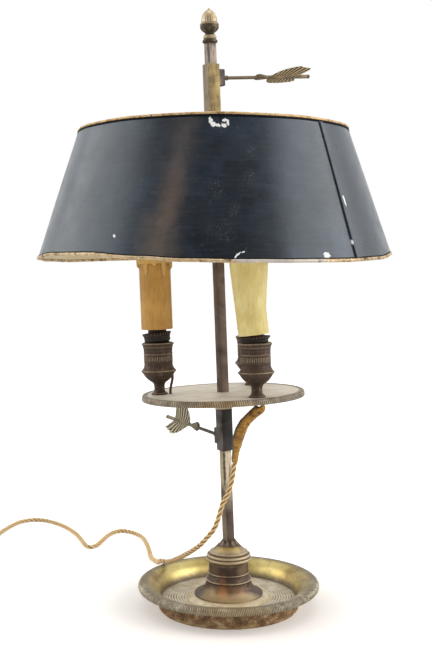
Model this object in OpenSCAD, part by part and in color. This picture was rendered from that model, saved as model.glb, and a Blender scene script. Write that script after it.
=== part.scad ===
// Three-light bouillotte lamp: a dished brass foot, a square stem that leans a little, a tray of
// three candle cups that slides on the stem, and a painted metal shade on a sliding carrier.
// Each slider is locked by a screw key in the form of an arrow, and an acorn nut closes the top.
// The origin is the centre of the foot's underside, +Z is up and the front is towards -Y.

/* [Base] */
// Outer radius of the cast foot ring
foot_r = 73; // [68:0.5:78]
// Wall of the foot ring
foot_wall = 7; // [5:0.5:10]
// Outer radius of the dish over its milled rim
dish_r = 93; // [88:0.5:100]
// Radius of the dish's flat floor
dish_floor_r = 69; // [66:0.5:70]
// Height of the dish's floor above the table
dish_floor_z = 10; // [9:0.5:13]
// Height of the top of the dish's rim above the table
dish_rim_z = 27.2; // [25:0.2:32]
// Thickness of the dish's metal
dish_wall = 1.6; // [1.2:0.1:2.4]
// Radius of the moulded ring under the pedestal
flange_r = 43.5; // [38:0.5:46]
// Thickness of that moulded ring
flange_t = 3.4; // [2.6:0.2:5]
// Radius of the pedestal's spreading foot
pedestal_foot_r = 35; // [32:0.5:37]
// Radius of the pedestal's drum
drum_r = 20.3; // [18:0.1:22]
// Height of the pedestal from the moulded ring to the collar
pedestal_h = 51.6; // [48:0.2:58]
// Radius of the leafy collar round the stem
collar_r = 10.6; // [9.8:0.1:13]
// Height of the leafy collar
collar_h = 4.5; // [3:0.1:6]
// Gap between the iron weight and the foot ring round it
weight_gap = 1; // [0.2:0.1:8]
// Radius of the threaded tail that ties the stem to the base
tail_r = 4; // [3:0.1:5]

/* [Stem] */
// Side of the square stem
stem_side = 9; // [8:0.1:9.5]
// Length along the stem from the table to its top end
stem_top = 573; // [560:1:640]
// Lean of the stem towards the left, in degrees
stem_lean = 2.15; // [0:0.05:2.5]
// Turn of the square section about the stem, in degrees
stem_turn = 31.5; // [0:0.5:60]
// Gap between the stem and whatever slides on it
slide_gap = 0.08; // [0.03:0.01:0.1]

/* [Finial] */
// Radius of the flange under the finial
finial_flange_r = 7.5; // [6.8:0.1:10]
// Radius of the pale ring above that flange
finial_ring_r = 6.5; // [5:0.1:6.8]
// Radius of the finial's cup at its widest
finial_cup_r = 9.3; // [8:0.1:12]
// Radius of the acorn
acorn_r = 8; // [6:0.1:9]
// Height of the acorn
acorn_h = 15; // [10:0.5:18]
// Radius of the threaded stud that the finial screws on
stud_r = 2.5; // [2:0.1:3]

/* [Shade] */
// Radius of the shade at the bottom
shade_bottom_r = 177; // [150:1:200]
// Radius of the shade at the top
shade_top_r = 133; // [110:1:145]
// Height of the shade
shade_h = 130; // [100:1:150]
// Thickness of the shade's sheet metal
shade_sheet = 0.8; // [0.6:0.1:1.5]
// Height along the stem at which the shade's frame is carried
shade_s = 484; // [478:1:486]
// Rise of the shade's top edge above its frame
shade_rise = 5; // [3:0.5:8]
// Tilt of the shade back from the leaning stem, in degrees
shade_tilt = 1.6; // [0:0.1:2]
// Radius of the wire rolled into the top edge
top_wire_r = 1.3; // [1:0.1:2]
// Radius of the wire rolled into the bottom edge
bottom_wire_r = 1.6; // [1:0.1:2.5]
// Direction of the lapped seam round the shade, in degrees
seam_turn = -44; // [-90:1:0]
// Width of the lapped seam, in degrees round the shade
seam_width = 2.6; // [1.5:0.1:5]
// Radius of the hub that joins the frame's arms
hub_r = 13; // [12:0.5:20]
// Width of each arm of the frame
arm_w = 8; // [5:0.5:12]
// Thickness of each arm of the frame
arm_t = 2; // [1.5:0.1:3]

/* [Sliders] */
// Side of the square sleeves that slide on the stem
sleeve_side = 12.4; // [12.2:0.1:13]
// Length along the stem from the table to the top of the shade's sleeve
shade_sleeve_top = 552; // [546:1:556]
// Length along the stem from the table to the bottom of the tray's sleeve
tray_sleeve_bottom = 163; // [155:1:168]
// Height of the bosses that the keys screw into
boss_h = 16.5; // [12:0.5:20]
// Width of the bosses
boss_w = 9; // [7:0.5:11]
// Depth of the bosses
boss_d = 7.5; // [4:0.1:9]
// Height of the shade's key along the stem
shade_key_s = 539; // [535:1:541]
// Height of the tray's key along the stem
tray_key_s = 177; // [174:1:180]

/* [Arrow keys] */
// Length of an arrow beyond its boss
arrow_len = 107.5; // [95:0.5:120]
// Rise of an arrow above the square of the stem, in degrees
arrow_rise = 3.4; // [0:0.2:6]
// Radius of an arrow's shaft
arrow_shaft_r = 1.7; // [1.5:0.1:2.2]
// Radius of the threaded end of an arrow
arrow_screw_r = 1.9; // [1.5:0.1:2.2]
// Reach of the feathers from the shaft's centre line
feather_h = 15.5; // [10:0.5:17]
// Thickness of the feathers
feather_t = 1.3; // [1:0.1:2.2]
// Length of the feathers
feather_len = 54; // [45:1:60]
// Turn of the shade's arrow about its own length, in degrees
shade_key_turn = 64; // [0:1:90]
// Turn of the tray's arrow about its own length, in degrees
tray_key_turn = 12; // [0:1:60]

/* [Tray] */
// Radius of the tray
tray_r = 82.6; // [80:0.2:90]
// Height along the stem of the top of the tray's rim
tray_rim_s = 223.3; // [216:0.1:225]
// Height of the tray's rim
tray_rim_h = 6.1; // [5.5:0.1:9]
// Depth of the tray inside its rim
tray_depth = 0.4; // [0.2:0.1:1.5]
// Thickness of the tray's plate
tray_plate_t = 2; // [1.6:0.1:2.6]
// Thickness of the tray's rim
tray_rim_t = 2.6; // [1.6:0.1:3.6]
// Radius of the round collar under the tray
tray_collar_r = 9.3; // [9.2:0.1:14]
// Tilt of the tray back from the square of the stem, in degrees
tray_tilt = 1.2; // [0:0.1:1.5]

/* [Candle cups] */
// Distance from the stem to the centre of each cup
cup_circle_r = 64.5; // [60:0.5:68]
// Direction of the left cup, in degrees
cup_turn = 180.5; // [175:0.5:185]
// Radius of a cup's foot
cup_foot_r = 8.2; // [7.6:0.1:9]
// Radius of a cup at its widest edge
cup_edge_r = 17.7; // [16.4:0.1:19]
// Radius of a cup's body
cup_body_r = 14.4; // [14:0.1:15]
// Radius of a cup's lip
cup_lip_r = 16.3; // [15.2:0.1:17.5]
// Height of a cup
cup_h = 53; // [50:0.5:58]
// Radius of the hollow inside a cup
cup_hollow_r = 12.3; // [12.1:0.1:12.8]
// Height of the hollow's floor inside a cup
cup_hollow_z = 26; // [24:0.5:30]

/* [Candles] */
// Outer radius of the candle sleeves
candle_r = 15.9; // [15.5:0.1:17]
// Wall of the candle sleeves
candle_wall = 1; // [0.8:0.1:1.2]
// Length of the candle sleeves
candle_len = 80; // [70:1:95]
// Radius of the lamp holder's neck
holder_neck_r = 9.3; // [8:0.1:9.4]
// Depth of the lamp holder's top below the candle sleeve's rim
holder_drop = 20; // [18:1:30]
// Radius of the bulbs at their widest
bulb_r = 17.5; // [15:0.5:19]
// Length of a bulb's glass
bulb_len = 74; // [60:1:76]

/* [Cord] */
// Diameter of the twisted cord
cord_d = 5; // [4:0.5:6]
// Radius of the wires from the lamp holders
feed_r = 1.3; // [0.8:0.1:1.4]
// Radius of the cord's fabric cover at its widest
cover_r = 5.4; // [4.8:0.1:7]
// Radius of the gland under the tray
gland_r = 4.6; // [3.5:0.1:5]
// Depth of the gland under the tray's plate
gland_h = 6.2; // [5.5:0.1:7]
// Radius of the plug
plug_r = 12.5; // [11:0.5:15]
// Length of the plug
plug_len = 30; // [24:1:36]

/* [Hidden] */

$fn = 96;
// Clearance between a bolt or wire and its hole, and between loosely seated pieces
hole_gap = 0.1;
seat_gap = 0.3;
// Overlap of cutting tools past the face that they cut
cut = 1;

// Colours
old_brass = [0.55, 0.45, 0.24];
dark_brass = [0.34, 0.27, 0.18];
pale_brass = [0.80, 0.72, 0.52];
cast_brown = [0.42, 0.30, 0.18];
iron_grey = [0.25, 0.24, 0.23];
shade_black = [0.06, 0.07, 0.10];
gold_edge = [0.76, 0.52, 0.22];
amber_wax = [0.66, 0.48, 0.21];
pale_wax = [0.83, 0.74, 0.45];
glass_white = [0.92, 0.92, 0.88];
wire_brown = [0.28, 0.15, 0.10];
cord_gold = [0.80, 0.62, 0.34];
bakelite = [0.16, 0.09, 0.06];

// Points of a quadratic curve from a to c, pulled towards b
function curve(a, b, c, steps = 8) =
    [for (i = [0 : steps]) let (t = i / steps) (1 - t) * (1 - t) * a + 2 * t * (1 - t) * b + t * t * c];
// Points of an arc about c, from angle a to angle b
function arc(c, r, a, b, steps = 8) =
    [for (i = [0 : steps]) let (t = a + (b - a) * i / steps) c + r * [cos(t), sin(t)]];

// The stem's frame: heights along the stem, whose lean starts inside the pedestal
lean_z = 67;
module on_stem(s) {
    translate([0, 0, lean_z]) rotate([0, -stem_lean, 0]) translate([0, 0, s - lean_z]) children();
}
// The shade hangs a little less askew than the stem
module on_shade() {
    on_stem(shade_s) rotate([0, shade_tilt, 0]) children();
}
// A square bar or hole along the stem, from height a to height b
module stem_bar(side, a, b) {
    on_stem(a) rotate([0, 0, stem_turn]) translate([-side / 2, -side / 2, 0]) cube([side, side, b - a]);
}
bore_side = stem_side + 2 * slide_gap;

// ---- Base ----
// The dish's upper and lower outlines, from the floor's edge out to the rim
bead_r = 4;
lip_r = dish_r - bead_r;
lip_z = dish_rim_z - bead_r;
dish_throat_r = dish_floor_r + 8;
function dish_upper(drop, shift) = concat(
    curve([dish_floor_r + shift, dish_floor_z - drop], [dish_floor_r + 3 + shift, lip_z - 3 - drop],
        [dish_throat_r + shift, lip_z - drop], 7),
    curve([dish_throat_r + shift, lip_z - drop], [lip_r - 6, dish_rim_z - drop],
        [lip_r, dish_rim_z - drop], 5));
dish_tilt = 1.2;
dish_hole_r = tail_r + hole_gap;

module dish_outline() {
    under = dish_upper(dish_wall, dish_tilt);
    polygon(concat([[dish_hole_r, dish_floor_z]], dish_upper(0, 0),
        arc([lip_r, lip_z], bead_r, 80, -90, 14),
        [for (i = [len(under) - 2 : -1 : 0]) under[i]],
        [[dish_hole_r, dish_floor_z - dish_wall]]));
}
module base_dish() {
    color(old_brass) rotate_extrude() dish_outline();
}

// The foot ring is cast, and its top is cut to the underside of the dish
foot_top = dish_floor_z + 7;
module foot_ring() {
    under = dish_upper(dish_wall, dish_tilt);
    inner = foot_r - foot_wall;
    color(cast_brown) rotate_extrude() difference() {
        polygon([[inner, 0], [foot_r - 2.2, 0], [foot_r - 1, 1.4], [foot_r, foot_top - 2],
            [foot_r, foot_top], [inner, foot_top]]);
        polygon(concat([[0, dish_floor_z - dish_wall]], under,
            [[lip_r, dish_rim_z], [0, dish_rim_z]]));
    }
}

// The weight hangs under the dish, with a pocket for the washer and nut
weight_r = foot_r - foot_wall - weight_gap;
weight_h = dish_floor_z - dish_wall - 2.6;
weight_top = dish_floor_z - dish_wall;
pocket_r = 13;
washer_t = 1;
nut_h = 3;
pocket_h = washer_t + 1.2;
module base_weight() {
    color(iron_grey) difference() {
        translate([0, 0, weight_top - weight_h]) cylinder(r = weight_r, h = weight_h);
        translate([0, 0, weight_top - weight_h - cut])
            cylinder(r = tail_r + hole_gap, h = weight_h + 2 * cut);
        translate([0, 0, weight_top - weight_h - cut]) cylinder(r = pocket_r, h = pocket_h + cut);
    }
}
washer_z = weight_top - weight_h + pocket_h - washer_t;
module base_washer() {
    color(dark_brass) translate([0, 0, washer_z]) difference() {
        cylinder(r = tail_r * 2.4, h = washer_t);
        translate([0, 0, -cut]) cylinder(r = tail_r + hole_gap, h = washer_t + 2 * cut);
    }
}
tail_bottom = washer_z - nut_h;
module base_nut() {
    color(dark_brass) translate([0, 0, tail_bottom]) difference() {
        cylinder(r = tail_r * 1.85, h = nut_h, $fn = 6);
        translate([0, 0, -cut]) cylinder(r = tail_r, h = nut_h + 2 * cut);
    }
}

flange_top = dish_floor_z + flange_t;
module pedestal_flange() {
    step_r = flange_r - 2.5;
    color(old_brass) rotate_extrude() polygon(concat(
        [[dish_hole_r, dish_floor_z], [flange_r, dish_floor_z]],
        arc([flange_r - 0.8, dish_floor_z + 0.8], 0.8, 0, 90, 4),
        [[step_r, dish_floor_z + 1.8]],
        curve([step_r, dish_floor_z + 1.8], [step_r - 0.4, flange_top],
            [pedestal_foot_r + 0.6, flange_top], 5),
        [[dish_hole_r, flange_top]]));
}

// The pedestal: a spreading foot, a drum with two thin rings, a heavy bead and stepped shoulders
pedestal_top = flange_top + pedestal_h;
ring_low = flange_top + 15.3;
ring_high = ring_low + 7.6;
bead_z = pedestal_top - 13.4;
bead_out = 3.1;
socket_z = flange_top + 8;
tail_top = socket_z + 2;
module pedestal_outline() {
    neck_r = drum_r + 1.2;
    polygon(concat(
        [[0, flange_top], [pedestal_foot_r, flange_top]],
        curve([pedestal_foot_r, flange_top + 1.6], [pedestal_foot_r - 11, flange_top + 3.5],
            [neck_r + 1.6, ring_low - 0.4], 9),
        arc([neck_r + 1.4, ring_low + 0.4], 0.8, -60, 60, 4),
        curve([neck_r + 0.4, ring_low + 1.4], [drum_r + 0.4, ring_low + 3], [drum_r, ring_high - 0.8], 4),
        arc([drum_r + 0.2, ring_high], 0.7, -70, 70, 4),
        [[drum_r, ring_high + 0.9], [drum_r, bead_z - 4.2]],
        curve([drum_r, bead_z - 4.2], [drum_r + 0.2, bead_z - 3.4], [drum_r + 1.4, bead_z - 3], 3),
        arc([drum_r + 0.9, bead_z - 0.8], bead_out - 0.9, -80, 70, 8),
        arc([drum_r, bead_z + 2.6], 2, -40, 80, 6),
        [[drum_r - 0.8, bead_z + 5]],
        arc([drum_r - 1.8, bead_z + 6], 1, -60, 85, 4),
        curve([drum_r - 3, bead_z + 7.2], [drum_r - 3.6, bead_z + 7.6], [drum_r - 4.4, bead_z + 8.6], 3),
        curve([drum_r - 4.4, bead_z + 8.6], [collar_r + 2.2, pedestal_top - 2],
            [collar_r + 0.6, pedestal_top], 5),
        [[0, pedestal_top]]));
}
module pedestal() {
    color(dark_brass) difference() {
        rotate_extrude() pedestal_outline();
        stem_bar(stem_side, socket_z, pedestal_top + 2 * cut);
        translate([0, 0, flange_top - cut])
            cylinder(r = tail_r + hole_gap, h = tail_top - flange_top + 2 * cut);
    }
}
leaves = 12;
module pedestal_collar() {
    leaf_r = collar_r * 2 * PI / leaves / 2.6;
    color(old_brass) difference() {
        translate([0, 0, pedestal_top]) rotate_extrude() polygon(concat(
            [[0, 0], [collar_r, 0]],
            curve([collar_r, 0], [collar_r - 1.2, collar_h / 2], [collar_r - 0.3, collar_h], 5),
            [[0, collar_h]]));
        stem_bar(stem_side, pedestal_top - cut, pedestal_top + collar_h + 2 * cut);
        for (i = [0 : leaves - 1]) translate([0, 0, pedestal_top + collar_h])
            rotate([0, 0, i * 360 / leaves]) translate([collar_r / 2, 0, 0])
                rotate([0, 90, 0]) cylinder(r = leaf_r / 2, h = collar_r);
    }
}

// ---- Stem and finial ----
stud_h = 14;
module stem() {
    color(dark_brass) union() {
        stem_bar(stem_side, socket_z, stem_top);
        translate([0, 0, tail_bottom]) cylinder(r = tail_r, h = tail_top - tail_bottom);
        on_stem(stem_top - cut) cylinder(r = stud_r, h = stud_h + cut);
    }
}
flange_h = 2.6;
ring_top = flange_h + 4.9;
module finial_flange() {
    edge = finial_flange_r - flange_h / 2;
    color(dark_brass) on_stem(stem_top) difference() {
        rotate_extrude() polygon(concat([[0, 0]], arc([edge, flange_h / 2], flange_h / 2, -90, 90, 8),
            [[0, flange_h]]));
        translate([0, 0, -cut]) cylinder(r = stud_r + slide_gap, h = flange_h + 2 * cut);
    }
}
module finial_ring() {
    half = (ring_top - flange_h) / 2;
    color(pale_brass) on_stem(stem_top) difference() {
        rotate_extrude() polygon(concat([[0, flange_h]],
            arc([finial_ring_r - half, flange_h + half], half, -90, 90, 10), [[0, ring_top]]));
        translate([0, 0, -cut]) cylinder(r = stud_r + slide_gap, h = ring_top + 2 * cut);
    }
}
finial_neck_r = 4.5;
cup_top = ring_top + 11.5;
module finial_cup() {
    color(old_brass) on_stem(stem_top) difference() {
        rotate_extrude() polygon(concat(
            [[0, ring_top], [finial_neck_r, ring_top], [finial_neck_r, ring_top + 1.6]],
            curve([finial_neck_r + 0.4, ring_top + 2.2], [finial_cup_r - 1.4, ring_top + 4],
                [finial_cup_r, cup_top - 4.6], 7),
            [[finial_cup_r, cup_top - 2.6]],
            curve([finial_cup_r, cup_top - 2.6], [finial_cup_r - 0.1, cup_top], [acorn_r + 0.2, cup_top], 4),
            [[0, cup_top]]));
        translate([0, 0, ring_top - cut])
            cylinder(r = stud_r + slide_gap, h = stud_h - ring_top + hole_gap + cut);
    }
}
module acorn_nut() {
    color(pale_brass) on_stem(stem_top + cup_top) rotate_extrude() polygon(concat(
        [[0, 0], [acorn_r - 0.5, 0], [acorn_r, 1]],
        curve([acorn_r, 1], [acorn_r, acorn_h * 0.66], [2.4, acorn_h * 0.86], 9),
        curve([2.4, acorn_h * 0.86], [1, acorn_h * 0.9], [0.8, acorn_h], 3),
        [[0, acorn_h]]));
}

// ---- Arrow keys, bosses and sleeves ----
// A key's frame has +X along the arrow, from the boss's outer face, and the boss's height at zero
face_d = sleeve_side / 2 + boss_d;
module on_key(s, turn) {
    on_stem(s) rotate([0, 0, stem_turn + turn]) translate([face_d, 0, 0]) children();
}
module key_hole(s, turn) {
    on_key(s, turn) rotate([0, 90 - arrow_rise, 0]) translate([0, 0, -face_d - 2])
        cylinder(r = arrow_screw_r + slide_gap, h = face_d + 2 + 3 * cut);
}
module boss(s, turn) {
    on_key(s, turn) translate([-boss_d, -boss_w / 2, -boss_h / 2]) cube([boss_d, boss_w, boss_h]);
}
tip_gap = 0.4;
key_collar_len = 4;
// The knot is a flat swelling of the shaft, in the plane of the feathers
knot_t = 3.8;
module key_shaft(spin) {
    shank = boss_d + (sleeve_side - stem_side) / 2 - tip_gap;
    knot = arrow_len - feather_len - 16;
    rotate([0, 90 - arrow_rise, 0]) {
        translate([0, 0, -shank]) cylinder(r = arrow_screw_r, h = shank + 1.5);
        translate([0, 0, 1]) cylinder(r = arrow_shaft_r + 0.7, h = key_collar_len);
        translate([0, 0, 1.2]) cylinder(r = arrow_shaft_r, h = arrow_len - feather_len - 1.2);
    }
    rotate([0, -arrow_rise, 0]) rotate([spin, 0, 0]) translate([knot, knot_t / 2, 0]) rotate([90, 0, 0])
        linear_extrude(knot_t) polygon(concat(
            curve([0, 1], [2, 5.8], [7, 5.4], 5), curve([7, 5.4], [12, 4.8], [16, 1], 5),
            curve([16, -1], [12, -3.4], [7, -3.8], 5), curve([7, -3.8], [2, -4], [0, -1], 5)));
}
// Feathers: two vanes, folded a little towards each other, and the end of the shaft between them
vane_fold = -8;
module vane_outline() {
    h = feather_h;
    l = feather_len;
    root = arrow_shaft_r * 0.5;
    polygon(concat([[0.02 * l, 0], [0.02 * l, root]],
        curve([0.05 * l, 0.22 * h], [0.16 * l, 0.96 * h], [0.45 * l, h], 8),
        [[0.55 * l, 0.97 * h], [0.59 * l, 0.88 * h], [0.62 * l, 0.76 * h], [0.84 * l, 0.71 * h],
            [0.87 * l, 0.64 * h], [0.7 * l, root], [0.7 * l, 0]]));
}
module key_feathers(spin) {
    rotate([0, -arrow_rise, 0]) rotate([spin, 0, 0]) translate([arrow_len - feather_len, 0, 0]) {
        for (side = [0, 1]) mirror([0, 0, side]) rotate([vane_fold, 0, 0])
            translate([0, feather_t / 2, 0]) rotate([90, 0, 0]) linear_extrude(feather_t) vane_outline();
        rotate([0, 90, 0]) cylinder(r = arrow_shaft_r, h = feather_len - arrow_shaft_r);
        translate([feather_len - arrow_shaft_r, 0, 0]) sphere(r = arrow_shaft_r + 0.3, $fn = 32);
    }
}
module shade_key() {
    color(dark_brass) on_key(shade_key_s, 0) key_shaft(shade_key_turn);
}
module shade_key_feathers() {
    color(old_brass) on_key(shade_key_s, 0) key_feathers(shade_key_turn);
}
module tray_key() {
    color(dark_brass) on_key(tray_key_s, 90) key_shaft(tray_key_turn);
}
module tray_key_feathers() {
    color(old_brass) on_key(tray_key_s, 90) key_feathers(tray_key_turn);
}
shade_sleeve_bottom = shade_s - 6;
module shade_sleeve() {
    color(old_brass) difference() {
        stem_bar(sleeve_side, shade_sleeve_bottom, shade_sleeve_top);
        stem_bar(bore_side, shade_sleeve_bottom - cut, shade_sleeve_top + cut);
        key_hole(shade_key_s, 0);
    }
}
module shade_boss() {
    color(dark_brass) difference() {
        boss(shade_key_s, 0);
        key_hole(shade_key_s, 0);
    }
}

// ---- Shade ----
// Heights in the shade's frame run from the frame's arms, at zero
shade_top_z = shade_rise;
shade_bottom_z = shade_rise - shade_h;
flare = (shade_bottom_r - shade_top_r) / shade_h;
function shade_wall_r(z) = shade_top_r + (shade_top_z - z) * flare;
sheet_x = shade_sheet * sqrt(1 + flare * flare);
module shade_outline(out, in) {
    polygon([[shade_bottom_r + out, shade_bottom_z], [shade_top_r + out, shade_top_z],
        [shade_top_r - in, shade_top_z], [shade_bottom_r - in, shade_bottom_z]]);
}
module shade_body() {
    color(shade_black) on_shade() rotate_extrude($fn = 180) shade_outline(0, sheet_x);
}
module rolled_wire(r, z, wire_r) {
    color(gold_edge) on_shade() rotate_extrude($fn = 180) difference() {
        translate([r - sheet_x / 2, z]) circle(r = wire_r, $fn = 24);
        shade_outline(0, sheet_x);
    }
}
module shade_top_wire() {
    rolled_wire(shade_top_r, shade_top_z, top_wire_r);
}
module shade_bottom_wire() {
    rolled_wire(shade_bottom_r, shade_bottom_z, bottom_wire_r);
}
module shade_seam() {
    margin = 2.4;
    color(shade_black) on_shade() rotate([0, 0, seam_turn]) rotate_extrude(angle = seam_width, $fn = 180)
        polygon([[shade_wall_r(shade_bottom_z + margin), shade_bottom_z + margin],
            [shade_wall_r(shade_bottom_z + margin) + sheet_x, shade_bottom_z + margin],
            [shade_wall_r(shade_top_z - margin) + sheet_x, shade_top_z - margin],
            [shade_wall_r(shade_top_z - margin), shade_top_z - margin]]);
}
arms = 3;
hub_h = 6;
module shade_frame() {
    color(old_brass) difference() {
        on_shade() union() {
            translate([0, 0, -hub_h / 2]) cylinder(r = hub_r, h = hub_h);
            intersection() {
                for (i = [0 : arms - 1]) rotate([0, 0, 90 + i * 360 / arms])
                    translate([0, -arm_w / 2, -arm_t / 2]) cube([shade_bottom_r, arm_w, arm_t]);
                rotate_extrude($fn = 180) polygon([[0, -arm_t], [shade_wall_r(-arm_t) - sheet_x, -arm_t],
                    [shade_wall_r(arm_t) - sheet_x, arm_t], [0, arm_t]]);
            }
        }
        stem_bar(sleeve_side, shade_s - hub_h - 2, shade_s + hub_h + 2);
    }
}

// ---- Tray ----
tray_floor_s = tray_rim_s - tray_depth;
tray_under_s = tray_floor_s - tray_plate_t;
// The tray sits a little askew on its sleeve, with its front edge raised
module on_tray() {
    on_stem(tray_floor_s) rotate([-tray_tilt, 0, 0]) children();
}
module tray_plate() {
    low = tray_depth - tray_rim_h;
    r = tray_r;
    color(old_brass) difference() {
        on_tray() rotate_extrude($fn = 180) polygon(concat(
            [[0, 0], [r - tray_rim_t - 0.6, 0], [r - tray_rim_t, tray_depth]],
            curve([r - tray_rim_t + 0.2, tray_depth], [r - 0.2, tray_depth - 0.2], [r, tray_depth - 3], 6),
            arc([r - 1, low + 1], 1, 10, -90, 5),
            [[r - tray_rim_t, low], [r - tray_rim_t, -tray_plate_t], [0, -tray_plate_t]]));
        stem_bar(bore_side, tray_under_s - cut, tray_floor_s + cut);
        for (i = [0 : 2]) on_cup(i) {
            translate([0, 0, -tray_plate_t - cut])
                cylinder(r = cup_screw_r + hole_gap, h = tray_plate_t + 2 * cut);
            rotate([0, 0, wire_turns[i]]) translate([wire_out, 0, -tray_plate_t - cut])
                cylinder(r = feed_r + seat_gap, h = tray_plate_t + 2 * cut);
        }
        on_gland() cylinder(r = gland_r - 1.2, h = tray_plate_t + cut);
    }
}
// The collar is soldered round the top of the sleeve, against the tray's underside
collar_len = 13.6;
collar_cover = 3.5;
sleeve_top_s = tray_under_s - collar_cover;
module tray_collar() {
    color(old_brass) difference() {
        on_tray() translate([0, 0, -tray_plate_t - collar_len]) rotate_extrude() polygon(concat(
            [[0, 0], [tray_collar_r - 1.6, 0]], arc([tray_collar_r - 1.6, 1.6], 1.6, -90, 0, 6),
            [[tray_collar_r, 2.2], [tray_collar_r - 0.3, 3.4]],
            curve([tray_collar_r - 0.3, 4], [tray_collar_r, collar_len - 4],
                [tray_collar_r + 3, collar_len], 5),
            [[0, collar_len]]));
        stem_bar(sleeve_side, tray_sleeve_bottom, sleeve_top_s);
        stem_bar(bore_side, tray_sleeve_bottom, tray_under_s + cut);
    }
}
module tray_sleeve() {
    color(dark_brass) difference() {
        stem_bar(sleeve_side, tray_sleeve_bottom, sleeve_top_s);
        stem_bar(bore_side, tray_sleeve_bottom - cut, sleeve_top_s + cut);
        key_hole(tray_key_s, 90);
    }
}
module tray_boss() {
    color(dark_brass) difference() {
        boss(tray_key_s, 90);
        key_hole(tray_key_s, 90);
    }
}

// ---- Candle cups: left, right and back ----
cup_angles = [cup_turn, cup_turn + 120, cup_turn + 240];
// Tilt of each candle and of each drip ring towards the left, in degrees
candle_tilts = [0, 5.3, -4.5];
ring_tilts = [5.2, 1.4, -2];
// Height of each drip ring
ring_heights = [8.5, 5.6, 7];
// Radius of each drip ring at the top
ring_tops = [14.6, 15.4, 14.6];
// Sideways shift of each drip ring, where the tilted holder pushes it
ring_shifts = [0, -0.5, 0.4];
// Height of the bottom of each candle sleeve above the tray
candle_lows = [66.6, 61, 63];
candle_waxes = [amber_wax, pale_wax, pale_wax];
cup_screw_r = 2.4;
pivot_z = 50;
module on_cup(i) {
    on_tray() rotate([0, 0, cup_angles[i]]) translate([cup_circle_r, 0, 0])
        rotate([0, 0, -cup_angles[i]]) children();
}
// The candle's frame: the cup's frame tilted about a point inside the cup's hollow
module on_candle(i) {
    on_cup(i) translate([0, 0, pivot_z]) rotate([0, -candle_tilts[i], 0])
        translate([0, 0, -pivot_z]) children();
}
cup_edge_z = 24;
screw_depth = 12;
module cup_outline() {
    waist = cup_foot_r - 2.8;
    polygon(concat([[0, 0], [cup_foot_r, 0], [cup_foot_r, 1.2]],
        curve([cup_foot_r, 1.2], [waist, 2.4], [waist, 6], 5),
        [[waist, 9]],
        curve([waist, 9], [waist + 0.6, 12], [waist + 2.6, 13], 3),
        curve([waist + 3.2, 13.4], [cup_body_r - 1, 16.5], [cup_edge_r - 1.6, cup_edge_z - 2], 6),
        arc([cup_edge_r - 1.3, cup_edge_z], 1.3, -60, 75, 6),
        curve([cup_edge_r - 1, cup_edge_z + 1.4], [cup_body_r, cup_edge_z + 4],
            [cup_body_r, cup_edge_z + 8], 5),
        arc([cup_body_r - 0.1, cup_edge_z + 8.8], 0.5, -70, 70, 4),
        [[cup_body_r, cup_edge_z + 9.6], [cup_body_r, cup_edge_z + 16.8]],
        arc([cup_body_r - 0.1, cup_edge_z + 17.5], 0.5, -70, 70, 4),
        curve([cup_body_r, cup_edge_z + 18.2], [cup_body_r + 0.3, cup_h - 5],
            [cup_lip_r - 0.9, cup_h - 3.2], 5),
        arc([cup_lip_r - 1.1, cup_h - 1.5], 1.1, -70, 80, 5),
        [[cup_lip_r - 1.4, cup_h], [cup_hollow_r, cup_h], [cup_hollow_r, cup_hollow_z], [0, cup_hollow_z]]));
}
module candle_cup(i) {
    color(old_brass) on_cup(i) difference() {
        rotate_extrude() cup_outline();
        translate([0, 0, -cut]) cylinder(r = cup_screw_r, h = screw_depth + cut);
    }
}
module left_cup() {
    candle_cup(0);
}
module right_cup() {
    candle_cup(1);
}
module back_cup() {
    candle_cup(2);
}
head_r = 4.6;
head_h = 2.2;
module cup_screws() {
    color(dark_brass) for (i = [0 : 2]) on_cup(i) {
        translate([0, 0, -tray_plate_t]) cylinder(r = cup_screw_r, h = tray_plate_t + screw_depth - 1);
        translate([0, 0, -tray_plate_t - head_h]) cylinder(r = head_r, h = head_h);
    }
}
// Drip rings: a flared ring on the cup's lip, with a spigot down inside the cup
ring_bore = cup_hollow_r - 1;
spigot_h = 5;
ring_foot_r = cup_hollow_r + 0.9;
module drip_ring(i) {
    high = ring_heights[i];
    lift = cup_h + hole_gap + ring_foot_r * abs(sin(ring_tilts[i]));
    color(dark_brass) on_cup(i) translate([ring_shifts[i], 0, lift]) rotate([0, -ring_tilts[i], 0])
        rotate_extrude() polygon(concat(
            [[ring_bore, -spigot_h], [ring_bore + 0.5, -spigot_h], [ring_bore + 0.5, 0], [ring_foot_r, 0]],
            curve([ring_foot_r, 0.8], [ring_foot_r - 0.3, high - 3], [ring_tops[i], high - 1], 6),
            [[ring_tops[i], high], [ring_tops[i] - 1, high], [ring_bore + 0.6, high - 3.4], [ring_bore, 1]]));
}
module left_drip_ring() {
    drip_ring(0);
}
module right_drip_ring() {
    drip_ring(1);
}
module back_drip_ring() {
    drip_ring(2);
}
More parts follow.
